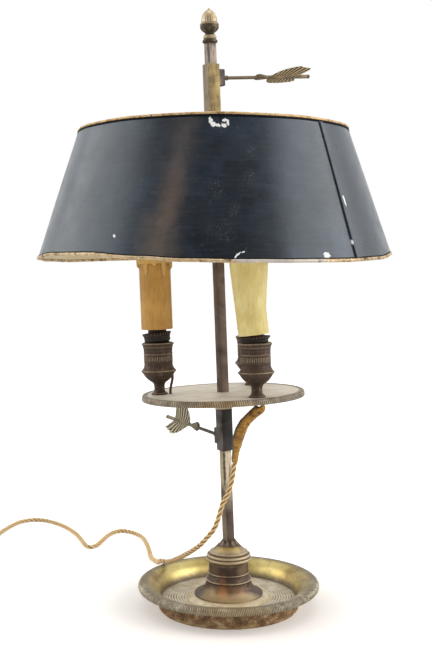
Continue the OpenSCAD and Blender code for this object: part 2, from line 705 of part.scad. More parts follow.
// Lamp holders: a neck that stands on the cup's floor, and a shell that the candle sleeve grips
cap_r = 6.8;
module lamp_holder(i) {
    low = cup_hollow_z + hole_gap + holder_neck_r * abs(sin(candle_tilts[i]));
    shell_r = candle_r - candle_wall - hole_gap;
    base = candle_lows[i] + 1;
    top = candle_lows[i] + candle_len - holder_drop;
    color(dark_brass) on_candle(i) difference() {
        union() {
            translate([0, 0, low]) cylinder(r = holder_neck_r, h = base - low + cut);
            translate([0, 0, base]) cylinder(r = shell_r, h = top - base);
        }
        translate([0, 0, top - bulb_seat]) cylinder(r = cap_r + hole_gap, h = bulb_seat + cut);
    }
}
module left_lamp_holder() {
    lamp_holder(0);
}
module right_lamp_holder() {
    lamp_holder(1);
}
module back_lamp_holder() {
    lamp_holder(2);
}
module candle(i) {
    color(candle_waxes[i]) on_candle(i) translate([0, 0, candle_lows[i]]) difference() {
        cylinder(r = candle_r, h = candle_len);
        translate([0, 0, -cut]) cylinder(r = candle_r - candle_wall, h = candle_len + 2 * cut);
    }
}
module left_candle() {
    candle(0);
}
module right_candle() {
    candle(1);
}
module back_candle() {
    candle(2);
}
// Bulbs: a screw cap in the holder, and a flame-shaped glass above it
bulb_seat = 22;
cap_h = 24;
function bulb_z(i) = candle_lows[i] + candle_len - holder_drop - bulb_seat + hole_gap;
module bulb_caps() {
    color(dark_brass) for (i = [0 : 2]) on_candle(i) translate([0, 0, bulb_z(i)])
        cylinder(r = cap_r, h = cap_h);
}
module bulb(i) {
    color(glass_white) on_candle(i) translate([0, 0, bulb_z(i) + cap_h]) rotate_extrude() polygon(concat(
        [[0, 0], [cap_r - 0.4, 0]],
        curve([cap_r - 0.2, 2], [cap_r, 8], [candle_r - candle_wall - 3, bulb_len * 0.24], 5),
        curve([candle_r - candle_wall - 3, bulb_len * 0.24], [bulb_r - 0.6, bulb_len * 0.34],
            [bulb_r, bulb_len * 0.5], 7),
        curve([bulb_r, bulb_len * 0.5], [bulb_r - 0.6, bulb_len * 0.72], [3, bulb_len * 0.93], 8),
        [[1.2, bulb_len * 0.98], [0, bulb_len]]));
}
module left_bulb() {
    bulb(0);
}
module right_bulb() {
    bulb(1);
}
module back_bulb() {
    bulb(2);
}

// ---- Tubes swept along a list of points ----
function unit(v) = v / norm(v);
function tangent(p, i) = unit(p[min(i + 1, len(p) - 1)] - p[max(i - 1, 0)]);
function square_to(n, t) = unit(n - (n * t) * t);
// Side vectors carried from ring to ring without twisting
function side_vectors(p, n, i = 0) = i >= len(p) ? [] :
    let (s = square_to(n, tangent(p, i))) concat([s], side_vectors(p, s, i + 1));
// Catmull-Rom curve through the points, with the given number of steps between neighbours
function smooth(p, steps) = concat([for (i = [0 : len(p) - 2]) for (j = [0 : steps - 1])
    let (a = p[max(i - 1, 0)], b = p[i], c = p[i + 1], d = p[min(i + 2, len(p) - 1)], t = j / steps)
    0.5 * (2 * b + (c - a) * t + (2 * a - 5 * b + 4 * c - d) * t * t + (3 * b - a - 3 * c + d) * t * t * t)],
    [p[len(p) - 1]]);
function even(p, r) = [for (i = p) r];
// A tube along the points from one index to another, so that neighbouring tubes share a face
module tube(p, radii, sides, low, high) {
    across = side_vectors(p, [1, 0.2, 0.1]);
    rings = [for (i = [low : high]) let (t = tangent(p, i), u = across[i], v = cross(t, u))
        for (k = [0 : sides - 1]) p[i] + radii[i] * (cos(k * 360 / sides) * u + sin(k * 360 / sides) * v)];
    last = (high - low) * sides;
    walls = [for (i = [0 : high - low - 1]) for (k = [0 : sides - 1]) let (a = i * sides, b = (k + 1) % sides)
        for (f = [[a + sides + k, a + b, a + k], [a + sides + k, a + sides + b, a + b]]) f];
    polyhedron(points = rings, faces = concat(walls,
        [[for (k = [0 : sides - 1]) k]], [[for (k = [sides - 1 : -1 : 0]) last + k]]), convexity = 10);
}

// ---- Feed wires: out of a cup's bowl, down through the tray and along under it to the gland ----
wire_turns = [0, 100, 105];
wire_out = 10.9;
under_z = -tray_plate_t - feed_r - seat_gap;
gland_x = 36;
gland_y = -34;
module on_gland() {
    on_tray() translate([gland_x, gland_y, -tray_plate_t]) children();
}
// A point given outwards from a cup's centre along its wire, in the tray's frame
function by_cup(i, out, z) = [cup_circle_r * cos(cup_angles[i]) + out * cos(wire_turns[i]),
    cup_circle_r * sin(cup_angles[i]) + out * sin(wire_turns[i]), z];
wire_heights = [[2.7, 19.5], [2.8, 16.5], [2, 12.5], [0.8, 8], [0.2, 4], [0, 1], [0, -tray_plate_t - 0.8]];
function wire_fall(i) = [for (q = wire_heights) by_cup(i, wire_out + q[0], q[1])];
// Points under the tray to the gland, as x and y
wire_runs = [
    [[-51.5, -1.6], [-40, -8], [-20, -17], [2, -24], [22, -31], [33, -33.6]],
    [[31, -43.5], [33.4, -37.2]],
    [[26.6, 65], [21, 56], [21, 40], [26, 18], [33, -8], [35.8, -31.2]]];
module feed_wire(i) {
    p = smooth(concat(wire_fall(i), [for (q = wire_runs[i]) [q[0], q[1], under_z]]), 2);
    color(wire_brown) on_tray() tube(p, even(p, feed_r), 8, 0, len(p) - 1);
}
module left_feed_wire() {
    feed_wire(0);
}
module right_feed_wire() {
    feed_wire(1);
}
module back_feed_wire() {
    feed_wire(2);
}
module cord_gland() {
    color(dark_brass) on_gland() translate([0, 0, -gland_h]) cylinder(r = gland_r, h = gland_h);
}

// ---- Cord: down past the stem, over the back of the dish and along the table to its coil ----
// The fabric cover hangs from the gland, then the bare cord drops to the dish's rim
cover_route = [[30, -34, 212.5], [30, -34, 210.5], [22.6, -33, 204], [14.4, -30, 194], [9.4, -26, 181],
    [7.2, -22, 168]];
drop_route = [[5.5, -17, 151], [3, -13, 134], [-1, -11, 120], [-6, -10, 110], [-9, -10, 100], [-12, -9, 90],
    [-16, -7, 81], [-22, -4, 73], [-30, 2, 63], [-42, 16, 51], [-53, 31, 41], [-63, 45, 33.5]];
// From the rim along the table to the coil
floor_route = [[-70, 56, 30.4], [-74, 65, 28], [-76, 78, 22.8], [-79, 100, 16.5], [-85, 135, 8.5],
    [-90, 166, 3.2], [-94.5, 199, 2.7], [-100, 230, 2.6], [-106, 253, 2.5], [-116, 272, 2.5],
    [-130, 284, 2.5], [-141, 281, 2.5], [-150, 263, 2.5], [-156, 234, 2.5], [-160, 216, 2.5],
    [-167, 209, 2.5], [-174, 219, 2.5], [-181, 239, 2.5], [-192, 270, 2.5], [-212, 307, 2.5],
    [-236, 334, 2.5], [-256, 341, 2.5], [-273, 330, 2.5], [-283, 305, 2.5], [-290, 271, 2.6],
    [-293.5, 235.6, 3.1]];
route = smooth(concat(cover_route, drop_route, floor_route), 2);
cover_end = 2 * (len(cover_route) - 1);
drop_end = cover_end + 2 * len(drop_route) + 2;
cord_r = cord_d / 2;
module cord_cover() {
    spread = [0.68, 0.7, 0.74, 0.85, 0.95, 1, 1, 0.95, 0.87, 0.78, 0.66];
    color(cord_gold) tube(route, [for (k = spread) k * cover_r], 12, 0, cover_end);
}
module cord_drop() {
    color(cord_gold) tube(route, even(route, cord_r), 10, cover_end, drop_end);
}
module cord_floor() {
    color(cord_gold) tube(route, even(route, cord_r), 10, drop_end, len(route) - 1);
}
coil_at = [-326, 236];
coil_r = 27.5;
coil_low = 0.6;
tie_t = 0.6;
module coil_outline() {
    in = coil_r - 3 * cord_r;
    out = coil_r + 3 * cord_r;
    polygon([[in + 1, coil_low], [out - 1, coil_low], [out, coil_low + 1], [out, coil_low + 2 * cord_d - 1],
        [out - 1, coil_low + 2 * cord_d], [in + 1, coil_low + 2 * cord_d],
        [in, coil_low + 2 * cord_d - 1], [in, coil_low + 1]]);
}
// The outermost turn is cut away on both sides, where the cord comes in and where its tail leaves
module cord_coil() {
    color(cord_gold) translate(coil_at) difference() {
        rotate_extrude() coil_outline();
        for (side = [0, 1]) mirror([side, 0, 0]) translate([coil_r, -0.5, coil_low - cut])
            cube([4 * cord_d, 4 * cord_d, 2 * cord_d + 2 * cut]);
    }
}
tie_turn = 225;
tie_w = 7;
module cord_tie() {
    in = coil_r - 3 * cord_r - tie_t;
    wide = 6 * cord_r + 2 * tie_t;
    color(dark_brass) difference() {
        translate(coil_at) rotate([0, 0, tie_turn]) translate([in, -tie_w / 2, 0])
            cube([wide, tie_w, coil_low + 2 * cord_d + tie_t]);
        translate(coil_at) rotate_extrude() coil_outline();
    }
}
plug_at = [-360, 275, 0];
// The tail leaves the coil's upper layer and rises to the back of the plug
tail_route = [[-358.5, 235.6, 8.1], [-358.6, 246, 8.3], [-359.4, 256, 9.8], [-360, 267, 12.2],
    [-360, 274.9, 12.5]];
module cord_tail() {
    p = smooth(tail_route, 2);
    color(cord_gold) tube(p, even(p, cord_r), 10, 0, len(p) - 1);
}
module plug_body() {
    r = plug_r;
    color(bakelite) translate(plug_at + [0, 0, r]) rotate([-90, 0, 0]) rotate_extrude() polygon(concat(
        [[0, 0], [cord_r + 1.6, 0], [cord_r + 2.2, 3]],
        curve([cord_r + 2.4, 4], [r - 1, 6], [r - 0.6, plug_len * 0.45], 6),
        [[r, plug_len * 0.5], [r, plug_len - 1], [r - 1, plug_len], [0, plug_len]]));
}
pin_r = 2.4;
pin_len = 19;
pin_pitch = 19;
module plug_pins() {
    color(old_brass) for (side = [-1, 1])
        translate(plug_at + [side * pin_pitch / 2, plug_len, plug_r]) rotate([-90, 0, 0])
            cylinder(r = pin_r, h = pin_len);
}

foot_ring();
base_dish();
base_weight();
base_washer();
base_nut();
pedestal_flange();
pedestal();
pedestal_collar();
stem();
finial_flange();
finial_ring();
finial_cup();
acorn_nut();
shade_sleeve();
shade_boss();
shade_frame();
shade_body();
shade_top_wire();
shade_bottom_wire();
shade_seam();
shade_key();
shade_key_feathers();
tray_plate();
tray_collar();
tray_sleeve();
tray_boss();
tray_key();
tray_key_feathers();
left_cup();
right_cup();
back_cup();
cup_screws();
left_drip_ring();
right_drip_ring();
back_drip_ring();
left_lamp_holder();
right_lamp_holder();
back_lamp_holder();
left_candle();
right_candle();
back_candle();
left_bulb();
right_bulb();
back_bulb();
bulb_caps();
left_feed_wire();
right_feed_wire();
back_feed_wire();
cord_gland();
cord_cover();
cord_drop();
cord_floor();
cord_coil();
cord_tie();
cord_tail();
plug_body();
plug_pins();
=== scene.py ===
import math

import bmesh
import bpy
from mathutils import Matrix, Vector, noise
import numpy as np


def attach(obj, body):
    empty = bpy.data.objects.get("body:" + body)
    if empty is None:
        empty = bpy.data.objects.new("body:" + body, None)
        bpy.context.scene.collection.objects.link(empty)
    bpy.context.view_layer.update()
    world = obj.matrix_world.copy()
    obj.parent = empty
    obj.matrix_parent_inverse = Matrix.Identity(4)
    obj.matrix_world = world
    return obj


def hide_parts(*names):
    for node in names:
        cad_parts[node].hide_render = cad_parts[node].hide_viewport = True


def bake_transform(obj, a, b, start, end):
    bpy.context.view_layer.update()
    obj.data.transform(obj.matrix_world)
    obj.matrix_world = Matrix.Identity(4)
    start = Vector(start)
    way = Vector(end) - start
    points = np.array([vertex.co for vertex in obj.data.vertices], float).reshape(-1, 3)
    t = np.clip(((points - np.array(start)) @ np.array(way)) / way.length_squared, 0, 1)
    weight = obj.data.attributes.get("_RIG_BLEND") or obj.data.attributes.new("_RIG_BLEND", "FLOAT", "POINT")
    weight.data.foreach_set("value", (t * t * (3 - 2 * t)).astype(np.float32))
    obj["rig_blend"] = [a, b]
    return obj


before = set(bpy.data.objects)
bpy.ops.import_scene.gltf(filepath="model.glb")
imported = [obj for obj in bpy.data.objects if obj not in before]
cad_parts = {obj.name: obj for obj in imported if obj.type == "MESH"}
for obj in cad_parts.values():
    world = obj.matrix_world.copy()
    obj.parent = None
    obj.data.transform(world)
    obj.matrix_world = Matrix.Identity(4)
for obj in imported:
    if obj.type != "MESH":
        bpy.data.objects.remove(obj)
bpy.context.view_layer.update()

# ---- Places, in millimetres until the last step ----
METRES = Matrix.Scale(0.001, 4)


def shift(x=0.0, y=0.0, z=0.0):
    return Matrix.Translation((x, y, z))


def turn(degrees, axis="Z"):
    return Matrix.Rotation(math.radians(degrees), 4, axis)


LEAN_Z, STEM_LEAN, STEM_TURN = 67, 2.15, 31.5
TRAY_FLOOR, SHADE_ARMS, STEM_TOP = 222.9, 484, 573
CUP_ANGLES, CUP_RADIUS = (180.5, 300.5, 60.5), 64.5
# Each candle tilts about a place so far up its cup
CANDLE_TILTS, TILT_UP = (0, 5.3, -4.5), 50
CANDLE_LOWS = (66.6, 61, 63)
RING_TILTS, RING_HEIGHTS = (5.2, 1.4, -2), (8.5, 5.6, 7)
RING_TOPS, RING_SHIFTS = (14.6, 15.4, 14.6), (0, -0.5, 0.4)
# Each clamping screw: how far up the stem, and which way it faces
SHADE_SCREW, TRAY_SCREW = (539, 0), (177, 90)
# The shade's cone, from the place of its arms
TOP_R, TOP_Z, BOTTOM_R, BOTTOM_Z = 133, 5, 177, -125
CONE_OUT, CONE_TALL = BOTTOM_R - TOP_R, TOP_Z - BOTTOM_Z


def on_stem(s):
    return shift(z=LEAN_Z) @ turn(-STEM_LEAN, "Y") @ shift(z=s - LEAN_Z)


def on_shade():
    return on_stem(SHADE_ARMS) @ turn(1.6, "Y")


def cone_radius(z):
    return TOP_R + (TOP_Z - z) * CONE_OUT / CONE_TALL


def on_tray():
    return on_stem(TRAY_FLOOR) @ turn(-1.2, "X")


def on_cup(i):
    return on_tray() @ turn(CUP_ANGLES[i]) @ shift(x=CUP_RADIUS) @ turn(-CUP_ANGLES[i])


def on_candle(i):
    return on_cup(i) @ shift(z=TILT_UP) @ turn(-CANDLE_TILTS[i], "Y") @ shift(z=-TILT_UP)


def on_key(s, side):
    return on_stem(s) @ turn(STEM_TURN + side) @ shift(x=13.7)


def on_gland():
    return on_tray() @ shift(36, -34, -2)


# ---- Camera ----
eye = bpy.data.cameras.new("eye")
eye.lens = 61.11
eye_stand = bpy.data.objects.new("eye", eye)
eye_stand.location = (-0.01305, -1.1125, 0.3757)
eye_stand.rotation_euler = (math.radians(90 - 4.3), 0, 0)
bpy.context.scene.collection.objects.link(eye_stand)
bpy.context.scene.camera = eye_stand


# ---- Outlines ----
def curve(a, b, c, steps=8):
    """Points of a quadratic curve from a to c, pulled towards b."""
    out = []
    for i in range(steps + 1):
        t = i / steps
        out.append(tuple((1 - t) ** 2 * p + 2 * t * (1 - t) * q + t * t * r for p, q, r in zip(a, b, c)))
    return out


def arc(centre, radius, start, end, steps=8):
    angles = [math.radians(start + (end - start) * i / steps) for i in range(steps + 1)]
    return [(centre[0] + radius * math.cos(a), centre[1] + radius * math.sin(a)) for a in angles]


def finer(outline, step):
    """The same outline with no stretch longer than step."""
    out = [outline[0]]
    for a, b in zip(outline, outline[1:]):
        parts = max(1, math.ceil(math.dist(a, b) / step))
        out += [tuple(p + (q - p) * k / parts for p, q in zip(a, b)) for k in range(1, parts + 1)]
    return out


def smooth_route(points, steps):
    """Points of a smooth curve through the given ones."""
    p = [Vector(q) for q in points]
    out = []
    for i in range(len(p) - 1):
        a, b, c, d = p[max(i - 1, 0)], p[i], p[i + 1], p[min(i + 2, len(p) - 1)]
        for j in range(steps):
            t = j / steps
            out.append(0.5 * (2 * b + (c - a) * t + (2 * a - 5 * b + 4 * c - d) * t * t
                              + (3 * b - a - 3 * c + d) * t ** 3))
    return out + [p[-1]]


def evenly(points, step):
    """Points along a route, a fixed step apart."""
    out, left = [points[0]], step
    for a, b in zip(points, points[1:]):
        span = (b - a).length
        while span >= left and span > 0:
            a = a + (b - a) * (left / span)
            out.append(a)
            span, left = (b - a).length, step
        left -= span
    return out + ([points[-1]] if (points[-1] - out[-1]).length > 0.3 * step else [])


# ---- Making pieces ----
FINISH = {}


def rough(x, y, z, scale=1.0):
    return noise.noise(Vector((x, y, z)) * scale)


def keep(bm, name, finish, body, stands_for=(), place=Matrix(), sharp=38):
    """Puts a finished bmesh in the scene as a piece that rides on a body."""
    bmesh.ops.transform(bm, matrix=METRES @ place, verts=bm.verts)
    mesh = bpy.data.meshes.new(name)
    bm.to_mesh(mesh)
    bm.free()
    mesh.shade_smooth()
    if sharp:
        mesh.set_sharp_from_angle(angle=math.radians(sharp))
    mesh.materials.append(FINISH[finish])
    piece = bpy.data.objects.new(name, mesh)
    bpy.context.scene.collection.objects.link(piece)
    if body:
        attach(piece, body)
    if stands_for:
        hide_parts(*stands_for)
    return piece


def spun(outline, steps=128, relief=None, closed=False):
    """A turned shape. relief gives each point's height above the surface from its radius, angle and height."""
    bm = bmesh.new()
    verts = [bm.verts.new((r, 0, z)) for r, z in outline]
    pairs = list(zip(verts, verts[1:] + (verts[:1] if closed else [])))
    if not closed:
        pairs = pairs[:len(verts) - 1]
    edges = [bm.edges.new(p) for p in pairs]
    bmesh.ops.spin(bm, geom=verts + edges, cent=(0, 0, 0), axis=(0, 0, 1), dvec=(0, 0, 0),
                   angle=2 * math.pi, space=Matrix(), steps=steps, use_merge=True,
                   use_normal_flip=False, use_duplicate=False)
    bmesh.ops.remove_doubles(bm, verts=bm.verts, dist=0.0005)
    bmesh.ops.recalc_face_normals(bm, faces=bm.faces)
    worn = bm.verts.layers.float.new("relief")
    if relief:
        bm.normal_update()
        lifts = []
        for v in bm.verts:
            height = relief(math.hypot(v.co.x, v.co.y), math.atan2(v.co.y, v.co.x), v.co.z)
            v[worn] = height
            lifts.append((v, v.normal * height))
        for v, lift in lifts:
            v.co += lift
    return bm


def join(*parts):
    """One bmesh of several, whose own places stay."""
    whole = parts[0]
    for part in parts[1:]:
        spare = bpy.data.meshes.new("spare")
        part.to_mesh(spare)
        part.free()
        whole.from_mesh(spare)
        bpy.data.meshes.remove(spare)
    return whole


def moved(bm, place):
    bmesh.ops.transform(bm, matrix=place, verts=bm.verts)
    return bm


def block(size, middle, edge=0.4, segments=2):
    """A block with softened edges."""
    bm = bmesh.new()
    bmesh.ops.create_cube(bm, size=1)
    bmesh.ops.transform(bm, matrix=shift(*middle) @ Matrix.Diagonal((*size, 1)), verts=bm.verts)
    bmesh.ops.bevel(bm, geom=bm.edges, offset=edge, offset_type="OFFSET", segments=segments, profile=0.5,
                    affect="EDGES", material=-1, clamp_overlap=True)
    return bm


def square_tube(side, bore, low, high, edge=0.35):
    """A square sleeve with a square bore."""
    bm = bmesh.new()
    bmesh.ops.create_grid(bm, x_segments=1, y_segments=1, size=side / 2)
    inset = bmesh.ops.inset_region(bm, faces=bm.faces, thickness=(side - bore) / 2, use_boundary=True,
                                    use_even_offset=True)
    inner = [f for f in bm.faces if f not in inset["faces"]]
    bmesh.ops.delete(bm, geom=inner, context="FACES_ONLY")
    risen = bmesh.ops.extrude_face_region(bm, geom=bm.faces)
    bmesh.ops.translate(bm, verts=[g for g in risen["geom"] if isinstance(g, bmesh.types.BMVert)],
                        vec=(0, 0, high - low))
    bmesh.ops.translate(bm, verts=bm.verts, vec=(0, 0, low))
    bmesh.ops.recalc_face_normals(bm, faces=bm.faces)
    outer = [e for e in bm.edges if all(max(abs(v.co.x), abs(v.co.y)) > side / 2 - 0.01 for v in e.verts)]
    bmesh.ops.bevel(bm, geom=outer, offset=edge, offset_type="OFFSET", segments=2, profile=0.5,
                    affect="EDGES", material=-1, clamp_overlap=True)
    return bm


def laid_grid(across, along, where):
    """A sheet of across by along faces, with each point placed by where(u, v), which gives its place and mark."""
    bm = bmesh.new()
    bmesh.ops.create_grid(bm, x_segments=across, y_segments=along, size=1)
    marks = bm.verts.layers.float.new("relief")
    uv = bm.loops.layers.uv.new("along")
    spots = {v: ((v.co.x + 1) / 2, (v.co.y + 1) / 2) for v in bm.verts}
    for f in bm.faces:
        for corner in f.loops:
            corner[uv].uv = spots[corner.vert]
    for v, (u, w) in spots.items():
        v.co, v[marks] = where(u, w)
    return bm


def swept(path, section, sides, twist=0.0, up=Vector((1, 0.2, 0.1))):
    """A closed tube along a path. section gives radius and mark from the distance gone and the angle round."""
    frames, gone, side = [], 0.0, up
    for i, p in enumerate(path):
        ahead = (path[min(i + 1, len(path) - 1)] - path[max(i - 1, 0)]).normalized()
        side = (side - side.dot(ahead) * ahead).normalized()
        frames.append((p, side, ahead.cross(side), gone))
        if i + 1 < len(path):
            gone += (path[i + 1] - p).length

    def where(u, w):
        middle, over, rise, run = frames[round(w * (len(path) - 1))]
        a = 2 * math.pi * (round(u * sides) % sides) / sides
        r, mark = section(run, a)
        a += twist * run
        return middle + r * (math.cos(a) * over + math.sin(a) * rise), mark

    bm = laid_grid(sides, len(path) - 1, where)
    bmesh.ops.remove_doubles(bm, verts=bm.verts, dist=0.001)
    bmesh.ops.holes_fill(bm, edges=[e for e in bm.edges if e.is_boundary], sides=0)
    bmesh.ops.recalc_face_normals(bm, faces=bm.faces)
    return bm


# ---- Finishes ----
def tone(code):
    """A colour written as six hexadecimal digits, as the shader wants it."""
    parts = [int(code[i:i + 2], 16) / 255 for i in (0, 2, 4)]
    return tuple(c / 12.92 if c <= 0.04045 else ((c + 0.055) / 1.055) ** 2.4 for c in parts) + (1.0,)


def add(owner, kind, links=(), **values):
    """A node in the tree that owner belongs to, with its settings. links pairs an input with what feeds it."""
    tree = owner.id_data
    made = tree.nodes.new("ShaderNode" + kind)
    for name, value in values.items():
        if hasattr(made, name):
            setattr(made, name, value)
        else:
            put(made, **{name: value})
    for socket, source in links:
        tree.links.new(source, made.inputs[socket])
    return made


def fill(made, pairs):
    """Links or sets a node's inputs, given as index and value."""
    for index, value in pairs:
        if isinstance(value, bpy.types.NodeSocket):
            made.id_data.links.new(value, made.inputs[index])
        else:
            made.inputs[index].default_value = tone(value) if isinstance(value, str) else value


def first_output(*values):
    return next(value for value in values if isinstance(value, bpy.types.NodeSocket))


def put(node, **values):
    """Sets a node's inputs to plain values. An underscore in a name stands for a space."""
    for name, value in values.items():
        node.inputs[name.replace("_", " ")].default_value = value


def mix(amount, a, b):
    """A mix of two colours, each an output, a plain colour or its code. The amount is an output or a number."""
    made = add(first_output(amount, a, b), "Mix", data_type="RGBA")
    fill(made, ((0, amount), (6, a), (7, b)))
    return made.outputs[2]


def sum_of(kind, a, b=0.0, c=0.0, clamp=False):
    """A math node on outputs or plain numbers."""
    made = add(first_output(a, b, c), "Math", operation=kind, use_clamp=clamp)
    fill(made, enumerate((a, b, c)))
    return made.outputs[0]


def times(a, b):
    return sum_of("MULTIPLY", a, b)


def ramp(source, low, high):
    """Nought below low, one above high."""
    made = add(source, "MapRange", [(0, source)])
    made.inputs[1].default_value, made.inputs[2].default_value = low, high
    return made.outputs[0]


def speckle(place, scale, detail=4.0, rough=0.6, stretch=None):
    """Cloudy noise of that many cells a metre."""
    if stretch:
        place = add(place, "Mapping", [(0, place)], Scale=stretch).outputs[0]
    return add(place, "TexNoise", [("Vector", place)], Scale=scale, Detail=detail, Roughness=rough).outputs["Fac"]


def axes(place):
    return add(place, "SeparateXYZ", [(0, place)]).outputs


def from_axis(parts):
    """How far a place is from the Z axis, from its three parts."""
    return sum_of("SQRT", sum_of("ADD", times(parts[0], parts[0]), times(parts[1], parts[1])))


def object_place(owner):
    return add(owner, "TexCoord").outputs["Object"]


def mark(owner):
    """The mark that a making function left on each point: above nought on crests, below it in hollows."""
    return add(owner, "Attribute", attribute_name="relief").outputs["Fac"]


def feed(source, node, socket):
    node.id_data.links.new(source, node.inputs[socket])


def new_group(name, inputs, outputs):
    group = bpy.data.node_groups.new(name, "ShaderNodeTree")
    for label, kind, value in inputs:
        socket = group.interface.new_socket(label, in_out="INPUT", socket_type="NodeSocket" + kind)
        if value is not None:
            socket.default_value = value
    for label, kind in outputs:
        group.interface.new_socket(label, in_out="OUTPUT", socket_type="NodeSocket" + kind)
    return group, group.nodes.new("NodeGroupInput").outputs, group.nodes.new("NodeGroupOutput").inputs


def patina_group():
    """Old metal: cloudy stain, fine pitting, dirt in hollows and brightness on worn crests."""
    tree, given, out = new_group("patina", [
        ("Place", "Vector", None), ("Metal", "Color", tone("8A7A55")), ("Stain", "Color", tone("4A3B2E")),
        ("Bright", "Color", tone("C8B98A")), ("Cloud", "Float", 60.0), ("Stained", "Float", 0.5),
        ("Worn", "Float", 0.2), ("Smooth", "Float", 0.35)],
        [("Color", "Color"), ("Roughness", "Float"), ("Height", "Float")])
    sized = add(tree, "VectorMath", [(0, given["Place"])], operation="SCALE")
    feed(given["Cloud"], sized, "Scale")
    cloud = speckle(sized.outputs[0], 1.0, 6.0, 0.62)
    grain = speckle(sized.outputs[0], 9.0, 5.0, 0.7)
    pits = speckle(sized.outputs[0], 22.0, 2.0, 0.5)
    relief = mark(sized)
    centre = sum_of("SUBTRACT", 0.78, given["Stained"])
    stain = sum_of("SUBTRACT", cloud, centre)
    stain = sum_of("MULTIPLY_ADD", stain, 4.0, 0.5, True)
    spot = ramp(pits, 0.62, 0.7)
    crest = times(ramp(relief, 0.02, 0.25), 0.75)
    hollow = ramp(relief, -0.02, -0.25)
    bright = sum_of("ADD", times(ramp(grain, 0.56, 0.72), given["Worn"]), crest, 0.0, True)
    colour = mix(stain, given["Metal"], given["Stain"])
    colour = mix(bright, colour, given["Bright"])
    colour = mix(times(spot, 0.55), colour, given["Stain"])
    colour = mix(times(hollow, 0.8), colour, "2A211A")
    tree.links.new(colour, out["Color"])
    rough = sum_of("MULTIPLY_ADD", stain, 0.2, given["Smooth"])
    rough = sum_of("SUBTRACT", rough, times(bright, 0.08), 0.0, True)
    tree.links.new(rough, out["Roughness"])
    height = sum_of("ADD", times(grain, 0.6), times(spot, -0.6))
    tree.links.new(height, out["Height"])
    return tree


PATINA = patina_group()


def blank(name):
    """A new material: its shader and its Object coordinates."""
    made = bpy.data.materials.new(name)
    made.use_nodes = True
    FINISH[name] = made
    shader = made.node_tree.nodes["Principled BSDF"]
    return shader, object_place(shader)


def bump(shader, height, strength=0.3, depth=0.0004):
    made = add(shader, "Bump", [("Height", height)], Strength=strength, Distance=depth)
    feed(made.outputs[0], shader, "Normal")


def old_metal(name, metal, stain, bright, cloud=60, stained=0.5, worn=0.2, smooth=0.35, metallic=0.5, rise=0.35,
              stretch=(1, 1, 1)):
    shader, place = blank(name)
    place = add(shader, "Mapping", [(0, place)], Scale=stretch).outputs[0]
    group = add(shader, "Group", node_tree=PATINA)
    feed(place, group, "Place")
    for label, value in (("Metal", tone(metal)), ("Stain", tone(stain)), ("Bright", tone(bright)),
                         ("Cloud", cloud), ("Stained", stained), ("Worn", worn), ("Smooth", smooth)):
        group.inputs[label].default_value = value
    feed(group.outputs["Color"], shader, "Base Color")
    feed(group.outputs["Roughness"], shader, "Roughness")
    put(shader, Metallic=metallic)
    bump(shader, group.outputs["Height"], rise)
    return shader, place, group


def facing(shader, x, y, z, low=0.4, high=0.7):
    """How far a surface faces the way x, y, z, from nought to one."""
    normal = add(shader, "TexCoord").outputs["Normal"]
    dot = add(shader, "VectorMath", [(0, normal)], operation="DOT_PRODUCT")
    dot.inputs[1].default_value = Vector((x, y, z)).normalized()
    return ramp(dot.outputs["Value"], low, high)


def recolour(shader, amount, colour, share=None):
    """Lays a colour over the finish where amount is one, or that share of it."""
    if share is not None:
        amount = times(amount, share)
    source = shader.inputs["Base Color"].links[0].from_socket
    feed(mix(amount, source, colour), shader, "Base Color")


def spot_mask(place, frame_at, reach, ragged=0.5, grain=900, soft=0.18):
    """A ragged patch round a place. reach is its half size along the frame's own axes, in millimetres."""
    made = add(place, "Mapping", [(0, place)], vector_type="TEXTURE")
    at = METRES @ frame_at
    put(made, Location=at.translation, Rotation=frame_at.to_euler(), Scale=[r / 1000 for r in reach])
    span = add(place, "VectorMath", [(0, made.outputs[0])], operation="LENGTH").outputs["Value"]
    edge = sum_of("MULTIPLY_ADD", speckle(place, grain, 2.0), ragged * 2, -ragged)
    return ramp(sum_of("ADD", span, edge), 1 + soft / 2, 1 - soft / 2)


# The square stem's front faces look this way, and the tray's and the shade's slides with them
LEFT_FACE, RIGHT_FACE = (-0.853, -0.522, 0), (0.522, -0.853, 0)

old_metal("cup_bronze", "7E6856", "4A3A2F", "BCA88E", 90, 0.46, 0.5, 0.38)
old_metal("ring_bronze", "4E4238", "2C241D", "8A7A64", 90, 0.5, 0.2, 0.42)
old_metal("boss_bronze", "574A45", "433A3A", "968A7E", 70, 0.4, 0.15, 0.42)
old_metal("arrow_bronze", "9A8C78", "6A5B46", "CDB88F", 120, 0.5, 0.5, 0.38)
old_metal("feather_bronze", "A8926E", "66523A", "E6D2A8", 120, 0.42, 0.5, 0.36)
old_metal("low_feather_bronze", "A2967A", "6E634C", "D2C9AC", 110, 0.46, 0.5, 0.38)
shader, place, worn = old_metal("low_arrow_bronze", "948A72", "685F49", "C6BEA6", 110, 0.4, 0.5, 0.38)
near_boss = axes(object_place(shader))[0]
recolour(shader, ramp(near_boss, -0.038, -0.029), "4A3F38", 0.75)
old_metal("olive_brass", "FFF4D8", "D2C09A", "FFF8E4", 70, 0.36, 0.6, 0.3, 0.12)
old_metal("cream_brass", "D4CAB2", "A49274", "F4EEDE", 110, 0.35, 0.5, 0.28)
old_metal("dark_bronze", "6E604A", "44392A", "A0906E", 90, 0.45, 0.2, 0.36)
old_metal("frame_brass", "8A7448", "5A482C", "B89E66", 60, 0.45, 0.25, 0.4)
old_metal("cast_iron", "4A423C", "2C2622", "6A6058", 80, 0.5, 0.2, 0.6, 0.5)
old_metal("screw_brass", "A08A52", "6A562F", "CDB678", 90, 0.4, 0.3, 0.3)

